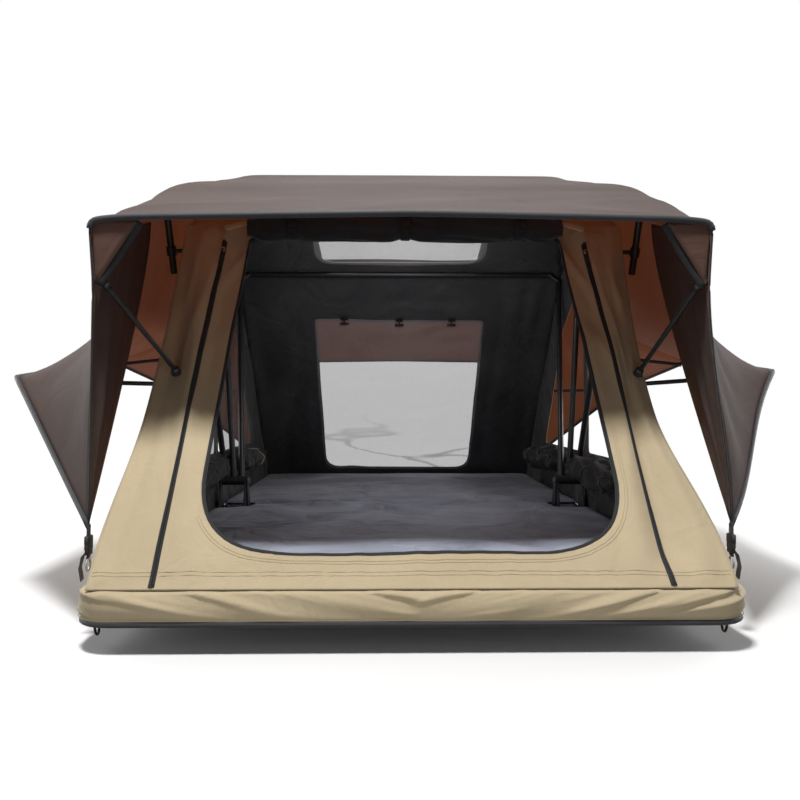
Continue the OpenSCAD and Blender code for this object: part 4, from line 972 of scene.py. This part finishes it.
# Mattress halves, notched round the hinge brackets
NOTCH_X, NOTCH_Y, MATTRESS_GAP, MATTRESS_CROWN = 0.4895, 0.082, 0.003, 0.009
MATTRESS_R = (0.045, 0.045, 0.02, 0.008, 0.02, 0.02, 0.008, 0.02)
# Its sides, as insets and heights: against the top, then against the underside
MATTRESS_BROW = ((0.010, -0.013), (0.003, -0.020), (0.0, -0.032))
MATTRESS_SOLE = ((0.001, 0.022), (0.006, 0.006), (0.014, 0.0))
SEAM_INSET, SEAM_DOWN, MATTRESS_SEAM_R = 0.002, 0.021, 0.0024


def mattress_top(x, y, to_edge, end):
    """The height of a mattress's top against its highest level, with its crown, dents and creases."""
    bend = 0.35 * ripple(x * 2.2, y * 2.2, 47)
    dent = 0.0035 * ripple(x * 3.5, y * 3.5, 40 + end)
    dent -= 0.007 * crease(x * 1.6 + y + bend, y * 4.5 - x * 1.8, 43 + end)
    return dent * ease(0.0, 0.10, to_edge) - MATTRESS_CROWN * (1 - ease(0, 0.16, to_edge)) - 0.002


def build_mattress(end, half):
    """A padded half of the mattress, with the piped seam round it."""
    body, node = f"{half}_base", f"{half}_mattress"
    low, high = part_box(node)
    x, near, far, top = high.x, MATTRESS_GAP, max(abs(low.y), abs(high.y)), high.z
    plan = [(-x, far), (x, far), (x, NOTCH_Y), (NOTCH_X, NOTCH_Y), (NOTCH_X, near), (-NOTCH_X, near),
            (-NOTCH_X, NOTCH_Y), (-x, NOTCH_Y)]
    loop = outline(plan, MATTRESS_R, per_corner=6, per_edge=26)
    middle = np.array([0, (near + far) / 2])

    def inset_row(inset, z):
        return [(*((p - unit(p - middle) * inset) * (1, end)), z) for p in loop]
    rows = []
    for t in np.linspace(0.01, 0.955, 44):
        row = []
        for px, py in [mix(middle, p, t) for p in loop]:
            to_edge = min(x - abs(px), far - py, (py - near) * 6 + 0.08)
            row.append((px, end * py, top + mattress_top(px, py, to_edge, end)))
        rows.append(row)
    rows += [inset_row(inset, top + z) for inset, z in MATTRESS_BROW]
    rows += [inset_row(inset, low.z + z) for inset, z in MATTRESS_SOLE]
    rows.append([(*(mix(middle, p, 0.5) * (1, end)), low.z) for p in loop])
    shell = grid_patch(rows, closed=True, flip=(end > 0))
    made = piece(f"mattress_{body}", [shell], [VELOUR], body, [node], folds=False)
    seam = inset_row(SEAM_INSET, top - SEAM_DOWN)
    piece(f"mattress_seam_{body}", [tube_patch(seam + [seam[0]], MATTRESS_SEAM_R, sides=6)], [PIPING], body,
          folds=False)


# Door trims, zips and the rolled-up door
DOOR_MIDDLE = np.array([0, (DOOR_LOW + DOOR_TOP) / 2])
BINDING_PROFILE = ((0.0035, 0.0008), (0.0, 0.0022), (-0.0035, 0.0), (-0.004, -0.006))
ZIP_PROFILE = ((-0.0050, 0.0004), (-0.0042, 0.0014), (0.0, 0.0018), (0.0042, 0.0014), (0.0050, 0.0004))
PULL_ROUTE = ((-0.002, 0.0105), (-0.012, 0.0095), (-0.030, 0.008), (-0.052, 0.007), (-0.066, 0.0068))
STRAP_PROFILE = ((-0.0125, 0), (-0.0115, 0.0018), (0.0115, 0.0018), (0.0125, 0))
STRAP_X, ROLL_SIDES = (-0.306, 0.0, 0.306), 64
DOOR_STITCH_OUT, FOOT_STITCH_UP, FOOT_STITCH_X, STITCH_LIFT = (0.016, 0.022), (0.028, 0.036), 0.598, 0.0006
ROLL_MIDDLE = np.array([0, *WALL_FOOT]) + WALL_UP * ROLL_AT + WALL_OUT * (ROLL_OUT + 0.002)


def round_door(out, lift):
    """Places along the door's edge, moved outwards from its middle and lifted off the wall."""
    return [on_wall(*(p + unit(p - DOOR_MIDDLE) * out), lift) for p in DOOR]


def build_door():
    """Binding round the doorway, and the stitches round it and along the wall's foot."""
    edges = [round_door(*step) for step in BINDING_PROFILE]
    piece("door_edge_binding", [grid_patch(edges, closed=True)], [WEBBING], "front_base",
          ["door_binding"])
    stitches = [round_door(out, STITCH_LIFT)[4:-62] for out in DOOR_STITCH_OUT]
    across = np.linspace(-FOOT_STITCH_X, FOOT_STITCH_X, 160)
    stitches += [[on_wall(x, s, STITCH_LIFT) for x in across] for s in FOOT_STITCH_UP]
    repeat_along("wall_stitches", stitches, *WALL_STITCH, THREAD, "front_base", "khaki_cloth")


def pull_radius(t):
    return 0.0030 + 0.0022 * ease(0.3, 0.6, t)


def build_zips():
    """Zip tapes with their teeth, and the sliders with their pull tags."""
    tapes, teeth = [], []
    for side in (-1, 1):
        x, run = side * ZIP_X, np.linspace(0.004, ZIP_L, 120)
        tapes.append(grid_patch([[on_wall(x + d, s, h) for s in run] for d, h in ZIP_PROFILE]))
        teeth.append([on_wall(x, s, 0.0030) for s in run])
    piece("zip_tape_cloth", tapes, [WEBBING], "front_base", ["zip_tapes"], thickness=TAPE_T)
    repeat_along("zip_teeth", teeth, *ZIP_TOOTH, PLASTIC, "front_base", "plastic")
    outwards = tuple(WALL_OUT)
    flat = ((1, 0, 0), tuple(WALL_UP), outwards)
    for side, name in ((-1, "left_zip"), (1, "right_zip")):
        x = side * ZIP_X
        head = box_patch(on_wall(x, SLIDER_AT, 0.0060), (0.011, 0.017, 0.006), axes=flat)
        pull = [on_wall(x, SLIDER_AT + d, h) for d, h in PULL_ROUTE]
        tag = tube_patch(pull, pull_radius, up=outwards, squeeze=0.4, index=1)
        piece(f"{name}_pull", [head, tag], [STEEL, WEBBING], name, [f"{name}_slider"])


def by_roll(x, out, up):
    """A place by the rolled-up door: across, then outwards and up the wall from the middle of the roll."""
    return ROLL_MIDDLE + (x, 0, 0) + WALL_UP * up + WALL_OUT * out


def roll_ring(x, end, pinch):
    """One section of the rolled-up door, drawn together at its ends and under its straps."""
    ring = []
    for a in np.linspace(0, 2 * math.pi, ROLL_SIDES, endpoint=False):
        twist = a + 2.2 * x
        lump = 0.10 * ripple(2 * math.cos(a) + x * 4.0, 2 * math.sin(a), x * 3.0)
        fold = 0.09 * crease(x * 5.0 + 0.8 * math.sin(twist), 1.4 * math.cos(twist), 3.3)
        lap = 0.05 * ((a + 0.6) % (2 * math.pi)) / (2 * math.pi)
        r = ROLL_R * pinch * (0.92 + lump * pinch + fold + lap) * mix(0.62, 1.0, end)
        sag = max(0.0, -math.sin(a)) * (0.34 + 0.14 * ripple(x * 4.5, 0.5, 8.8)) * ease(0.85, 1.0, pinch)
        ring.append(by_roll(x, r * math.cos(a), r * (1.02 + sag) * math.sin(a)))
    return ring


def build_door_roll():
    """The rolled-up door, its straps with toggles and tails, and the tabs at its ends."""
    half = DOOR_W / 2
    rows = []
    for x in np.linspace(-half, half, 150):
        pinch = 1 - 0.16 * sum(math.exp(-((x - strap) / 0.028) ** 2) for strap in STRAP_X)
        rows.append(roll_ring(x, ease(0, 0.045, half - abs(x)), pinch))
    caps = [[by_roll(x, 0, 0)] * ROLL_SIDES for x in (-half + 0.006, half - 0.006)]
    piece("rolled_door", [grid_patch([caps[0], *rows, caps[1]], closed=True, flip=True)], [BLACK_CLOTH],
          "front_base", ["door_roll"])
    bands, outwards = [], tuple(WALL_OUT)
    for x in STRAP_X:
        loop = [by_roll(x, ROLL_R * 0.96 * math.cos(a), ROLL_R * 0.98 * math.sin(a))
                for a in np.linspace(math.pi * 1.02, -math.pi * 0.98, 48)]
        bands.append(grid_patch([[p + (d, 0, 0) + h * unit(p - by_roll(x, 0, 0)) for p in loop]
                                 for d, h in STRAP_PROFILE]))
        toggle = [by_roll(x + d, ROLL_R + 0.004, -0.008) for d in (-0.020, -0.008, 0.008, 0.020)]
        bands.append(tube_patch(toggle, 0.0048, index=1))
        hang = [by_roll(x + 0.004, ROLL_R * 0.85, -(0.020 + d)) for d in (0, 0.012, 0.026, 0.040)]
        bands.append(tube_patch(hang, 0.0090, up=outwards, squeeze=0.12))
    for side in (-1, 1):
        tab = [by_roll(side * (half + d), 0.006, 0.012 - 0.5 * d) for d in (-0.010, 0.012, 0.036, 0.060)]
        bands.append(tube_patch(tab, 0.0125, up=outwards, squeeze=0.15, index=2))
    piece("roll_ties", bands, [WEBBING, PLASTIC, KHAKI], "front_base", ["door_roll_straps"])


# Rolled window flaps at the side sills
FLAP_X, FLAP_Z, FLAP_R, FLAP_SIDES = 0.563, 0.246, 0.034, 48
FLAP_NEAR, FLAP_FAR, FLAP_TIP = 0.100, 0.650, 0.002
FLAP_BAND = ((-0.011, 0.0), (-0.010, 0.0016), (0.010, 0.0016), (0.011, 0.0))


def flap_ring(side, end, y, grow=0.0):
    """One section of a rolled flap: the left ones are strapped tight, the right ones lie in a loose heap."""
    loose = 1.0 if side < 0 else 1.6
    taper = mix(0.55, 1.0, ease(0, 0.05, FLAP_TIP + min(y - FLAP_NEAR, FLAP_FAR - y)))
    middle = FLAP_Z + 0.008 * math.sin(9 * y)
    ring = []
    for a in np.linspace(0, 2 * math.pi, FLAP_SIDES, endpoint=False):
        lump = 0.20 * loose * ripple(y * 7, 1.5 * math.cos(a), 1.5 * math.sin(a) + 9 * end + side)
        fold = 0.20 * loose * crease(y * 9 + 1.2 * math.sin(a), 1.3 * math.cos(a), 5.0 * side + end)
        r = FLAP_R * taper * (0.86 + lump + fold) + grow
        across = r * math.cos(a) * (loose if math.cos(a) < 0 else 1.0)
        ring.append((side * min(FLAP_X + across, BODY_X - 0.004), end * y, middle + 1.1 * r * math.sin(a)))
    return ring


def build_side_flaps(end, half):
    """Rolled window flaps of one half, with their bands."""
    rolls, body = [], f"{half}_base"
    for side in (-1, 1):
        rows = [flap_ring(side, end, y) for y in np.linspace(FLAP_NEAR, FLAP_FAR, 84)]
        caps = [[np.mean(row, axis=0)] * FLAP_SIDES for row in (rows[0], rows[-1])]
        rolls.append(grid_patch([caps[0], *rows, caps[1]], closed=True, flip=(side * end > 0)))
        for y, index in ((0.17, 1), (0.33, 1), (0.52, 2 if side < 0 else 1)):
            band = [flap_ring(side, end, y + d, grow) for d, grow in FLAP_BAND]
            rolls.append(grid_patch(band, closed=True, index=index))
    piece(f"rolled_flaps_{body}", rolls, [BLACK_CLOTH, WEBBING, KHAKI], body,
          [f"side_flaps_{half}"])


# Rods and their sockets: seats on the walls, and how far along Y the outer ends lie
ROD_SEATS = {"front": [(-0.660, 0.499, -0.694)], "rear": [(0.01525, 0.612, 0.01525), (0.660, 0.499, 0.694)]}
CORNER_ROD_X, CORNER_ROD_UP = 0.532, 0.549
CORNER_TIPS = {-1: (-0.613, -1.018, 0.689), 1: (0.580, -1.018, 0.689)}
# Sections of the cups: how far off the wall they lie at the side and at the corner rods, and their end caps
SIDE_CUP, CORNER_CUP = (0.0005, 0.002, 0.009, 0.0135), (0.0, 0.002, 0.010, 0.014)
SIDE_CAP_R, CORNER_CAP_R = 0.0075, 0.0080


def bar(a, b):
    """A straight rod from one place to another."""
    a, b = np.array(a, float), np.array(b, float)
    return tube_patch([mix(a, b, t) for t in (0, 0.02, 0.5, 0.98, 1)], ROD_R, 14)


def socket_cup(route):
    return tube_patch(route, lambda t: mix(0.0125, 0.0090, t), 20)


def rod_end(side, y):
    """The outer end of a side rod, under the wing's hem."""
    z = mix(WING_Z, WING_RIDGE_Z, 1 - abs(y) / WING_Y) - 0.004 - ROD_R
    drawn = WING_DRAW if side > 0 and y < 0 else 0.0
    return np.array([side * ROD_REACH - drawn, y, z + drawn / 3])


def build_rods():
    """Side rods and corner rods, with the cups that hold their ends."""
    for half, end in (("front", -1), ("rear", 1)):
        rods, cups, body = [], [], f"{half}_base"
        for side in (-1, 1):
            for y, z, end_y in ROD_SEATS[half]:
                seat, tip = on_side(side, end)(abs(y), z)[0], rod_end(side, end_y)
                rods.append(bar((seat + side * 0.007, y, z), tip))
                cups.append(socket_cup([(seat + side * d, y, z) for d in SIDE_CUP]))
                cups.append(tube_patch([tip + (side * d, 0, 0) for d in (-0.012, 0.004)], SIDE_CAP_R))
            if half == "front":
                foot, tip = corner_rod(side)
                cups.append(socket_cup([foot + WALL_OUT * d for d in CORNER_CUP]))
                cups.append(tube_patch([mix(tip, foot, t) for t in (-0.02, 0.03)], CORNER_CAP_R))
        piece(f"awning_rods_{half}", rods, [BLACK_TUBE], body, [f"side_rods_{half}"])
        piece(f"rod_cups_{half}", cups, [PLASTIC], body, [f"rod_sockets_{half}"])
        if half == "front":
            corner = [bar(foot + WALL_OUT * 0.006, tip) for foot, tip in map(corner_rod, (-1, 1))]
            piece("corner_awning_rods", corner, [BLACK_TUBE], body, ["corner_rods"])


def corner_rod(side):
    """Foot and tip of the rod that holds a front corner of the fly sheet out."""
    foot = on_wall(side * CORNER_ROD_X, CORNER_ROD_UP)
    foot[0] = side * CORNER_ROD_X
    return foot, np.array(CORNER_TIPS[side])


# Ties at the fly sheet's corners: webbing, side-release clip and hook, placed outwards, along Y and up
TIE_UPPER = ((0, 0, 0.212), (0, 0, 0.200), (0, 0, 0.188), (0, 0, 0.176))
TIE_LOWER = ((0, 0, 0.160), (0, 0, 0.152), (0.001, 0, 0.146))
TIE_TAIL = ((0, 0, 0.160), (0.010, -0.004, 0.150), (0.016, -0.002, 0.128), (0.014, 0.003, 0.102))
TIE_CLIP = (((0, 0, 0.182), (0.030, 0.010, 0.018)), ((0, 0, 0.163), (0.026, 0.009, 0.020)),
            ((0, -0.0115, 0.173), (0.005, 0.008, 0.020)), ((0, 0.0115, 0.173), (0.005, 0.008, 0.020)))
HOOK_OUT, HOOK_Z, HOOK_HALF_Y, HOOK_HALF_Z, HOOK_WIRE_R = 0.001, 0.134, 0.0105, 0.0125, 0.0022


def build_ties():
    """Straps with their tails, clips and hooks at the four corners."""
    across, sideways = ((0, 1, 0), (1, 0, 0), (0, 0, 1)), (1, 0, 0)
    for half, y in FLY_END.items():
        straps, clips, hooks, body = [], [], [], f"{half}_base"
        for side in (-1, 1):
            x = side * HEM_X
            upper, lower, tail = [[(x + side * out, y + d, z) for out, d, z in run]
                                  for run in (TIE_UPPER, TIE_LOWER, TIE_TAIL)]
            straps += [tube_patch(run, 0.0115, up=sideways, squeeze=0.11) for run in (upper, lower)]
            straps.append(tube_patch(tail, 0.0100, up=sideways, squeeze=0.12, index=1))
            clips += [box_patch((x + side * out, y + d, z), size, across) for (out, d, z), size in TIE_CLIP]
            hook = [(x + side * HOOK_OUT, y + HOOK_HALF_Y * math.sin(a), HOOK_Z + HOOK_HALF_Z * math.cos(a))
                    for a in np.linspace(0, 1.72 * math.pi, 26)]
            hooks.append(tube_patch(hook, HOOK_WIRE_R, 8, up=sideways))
        piece(f"tie_webbing_{half}", straps, [WEBBING, GREY_WEBBING], body, [f"tie_straps_{half}"])
        piece(f"tie_clips_{half}", clips, [PLASTIC], body, [f"tie_buckles_{half}"])
        piece(f"tie_rings_{half}", hooks, [STEEL], body, [f"tie_hooks_{half}"])


# Bands across the fly sheet's front corners: their ends, the corner itself, and the lines of a band
BAND_TOP, BAND_LOW, FLY_CORNER = (0.545, -1.030, 0.8165), (0.628, -1.030, 0.690), (0.636, -1.033, 0.813)
BAND_LINES, BAND_SLANT, BAND_SLACK = (-0.013, 0.0, 0.010), (0.82, 0, 0.57), 0.006


def build_corner_bands():
    """Black webbing across the fly sheet's front corners, on its inside, and the cloth beyond it."""
    bands, webs = [], []
    for side in (-1, 1):
        shift = 0.0 if side < 0 else CORNER_DRAW
        mirror = np.array([side, 1, 1])
        top = BAND_TOP * mirror - (shift * 0.9, 0, 0)
        low, corner = BAND_LOW * mirror - (shift, 0, 0), FLY_CORNER * mirror - (shift, 0, 0)
        slant = BAND_SLANT * mirror
        line = [mix(top, low, t) + (0, BAND_SLACK * math.sin(math.pi * t), 0) for t in np.linspace(0, 1, 18)]
        bands.append(grid_patch([[p + d * slant for p in line] for d in BAND_LINES], flip=(side > 0)))
        straight = [mix(top, low, t) for t in np.linspace(0, 1, 14)]
        webs.append(grid_patch([[mix(p, corner, u) for p in straight] for u in np.linspace(0, 1, 8)],
                               flip=(side > 0)))
    piece("corner_webbing", bands, [WEBBING], "front_base", ["fly_corner_bands"], thickness=BAND_T)
    piece("corner_webs", webs, [FLY, FLY_INSIDE], "front_base", thickness=WEB_T)


# Cord loops under the front corners: the route of one as Y and Z from its middle at the skirt's foot
CORD_X, CORD_Y, CORD_Z, CORD_SWAY = 0.6117, -1.078, 0.040, 0.004
CORD_EXIT_Y, CORD_L, CORD_D = -1.089, 0.0775, 0.005
CORD_ROUTE = [(-0.011, 0), (-0.011, -0.006), (-0.0115, -0.012), (-0.0115, -0.018), (-0.0105, -0.024),
              (-0.0075, -0.029), (-0.003, -0.032), (0.003, -0.032), (0.0075, -0.029), (0.0105, -0.024),
              (0.0115, -0.018), (0.0115, -0.012), (0.011, -0.006), (0.011, 0)]


def build_cords():
    last = len(CORD_ROUTE) - 1
    for side, name in ((-1, "corner_cord_left"), (1, "corner_cord_right")):
        data = bpy.data.curves.new(name, "CURVE")
        data.dimensions, data.use_fill_caps = "3D", True
        data.bevel_depth, data.bevel_resolution = CORD_D / 2, 3
        line = data.splines.new("POLY")
        line.points.add(last)
        for k, (y, z) in enumerate(CORD_ROUTE):
            sway = side * CORD_SWAY * math.sin(math.pi * k / last)
            line.points[k].co = (side * CORD_X - sway, CORD_Y + y, CORD_Z + z, 1)
        data.materials.append(CORD)
        made = bpy.data.objects.new(name, data)
        scene.collection.objects.link(made)
        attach(made, "front_base")
        if side < 0:
            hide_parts("corner_cords")


build_cords()
build_tent_body()
build_fly()
for build in (build_skirt, build_mattress):
    build(-1, "front")
    build(1, "rear")
build_door()
build_zips()
build_door_roll()
build_side_flaps(-1, "front")
build_side_flaps(1, "rear")
build_rods()
build_ties()
build_corner_bands()


# Finishes of the pieces carried over from the frame
CAD_FINISH = {
    BOARD: ["front_floor_panel", "rear_floor_panel"],
    ALUMINIUM: ["front_edge_frame", "rear_edge_frame", "mounting_rails"],
    STEEL: ["rail_bolts", "front_bracket_bolts", "rear_bracket_bolts", "hinge_pins"],
    BRACKET: ["front_hinge_brackets", "rear_hinge_brackets",
              "front_bow_ends", "centre_bow_ends", "rear_bow_ends"],
    BLACK_TUBE: ["front_bow_tube", "centre_bow_tube", "rear_bow_tube", "awning_bow_tube"],
    PLASTIC: ["awning_bow_clips"]}
for finish, nodes in CAD_FINISH.items():
    for node in nodes:
        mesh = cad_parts[node].data
        mesh.materials.clear()
        mesh.materials.append(finish)


# Lamps: place, what each points at, width and height in metres, and watts
LAMPS = (
    ("key_light", (-0.5, -2.15, 3.9), (0, -0.8, 0.2), (0.60, 0.60), 165),
    ("low_light", (0, -2.0, 0.06), (0, -1.15, 0.08), (1.5, 0.12), 2.8),
    ("top_light", (0, 1.2, 3.4), (0, 0.2, 0.8), (1.6, 1.6), 24),
    ("inside_light", (0, -0.24, 0.92), (0, 0.30, 0.2), (0.28, 0.28), 1.6),
    ("left_light", (-2.8, 0.5, 1.1), (0, 0.0, 0.3), (1.8, 1.8), 40),
    ("right_light", (2.8, 0.5, 1.1), (0, 0.0, 0.3), (1.8, 1.8), 40),
    ("back_light", (0.6, 3.4, 2.4), (0, 0.4, 0.4), (2.4, 2.4), 34))
FLOOR_R, FLOOR_Z, FLOOR_FADE = 14, -0.012, (1.3, 2.6)
FLOOR_GREY, WORLD_LIGHT = 0.22, 0.040


def pale_floor():
    """Pale to the camera, fading to white far out, and grey in the light that it throws on the tent."""
    made, tree, shader = new_material("pale_floor")
    fill(shader, {"Roughness": 0.9})
    place = object_place(tree)
    pale = tone_mix(tree, noise_field(tree, place, Scale=3.0), (0.93, 0.93, 0.93, 1), (0.90, 0.90, 0.90, 1))
    reach = add(tree, "ShaderNodeVectorMath", [(0, place)], operation="LENGTH").outputs["Value"]
    far = remap(tree, reach, *FLOOR_FADE, interpolation_type="SMOOTHSTEP")
    seen = add(tree, "ShaderNodeLightPath").outputs["Is Camera Ray"]
    tone = tone_mix(tree, seen, (FLOOR_GREY, FLOOR_GREY, FLOOR_GREY, 1), pale)
    tree.links.new(tone, shader.inputs["Base Color"])
    white = add(tree, "ShaderNodeEmission", [("Color", (1, 1, 1, 1)), ("Strength", 1.0)])
    share = math_node(tree, "MULTIPLY", far, seen)
    both = add(tree, "ShaderNodeMixShader", [(0, share), (1, shader.outputs[0]), (2, white.outputs[0])])
    tree.links.new(both.outputs[0], tree.nodes["Material Output"].inputs["Surface"])
    return made


def white_world():
    """White to the camera, in reflections and through glass, and a low even light otherwise."""
    world = bpy.data.worlds.new("white_room")
    scene.world = world
    world.use_nodes = True
    tree = world.node_tree
    back = tree.nodes["Background"]
    rays = add(tree, "ShaderNodeLightPath").outputs
    mirrored = math_node(tree, "MAXIMUM", rays["Is Glossy Ray"], rays["Is Transmission Ray"])
    shown = math_node(tree, "MAXIMUM", rays["Is Camera Ray"], mirrored)
    tree.links.new(remap(tree, shown, 0.0, 1.0, WORLD_LIGHT, 1.0), back.inputs["Strength"])
    fill(back, {"Color": (1, 1, 1, 1)})


def build_stage():
    """Floor, surroundings and lamps."""
    bpy.ops.mesh.primitive_circle_add(vertices=96, radius=FLOOR_R, fill_type="NGON", location=(0, 0, 0))
    floor = bpy.context.object
    floor.name = "pale_floor"
    floor.data.materials.append(pale_floor())
    floor.data.transform(Matrix.Translation((0, 0, FLOOR_Z)))
    white_world()
    for name, place, aim, size, power in LAMPS:
        lamp = bpy.data.lights.new(name, "AREA")
        lamp.energy, lamp.shape = power, "RECTANGLE"
        lamp.size, lamp.size_y = size
        made = bpy.data.objects.new(name, lamp)
        made.location = place
        made.rotation_euler = (Vector(aim) - Vector(place)).to_track_quat("-Z", "Y").to_euler()
        scene.collection.objects.link(made)


build_stage()
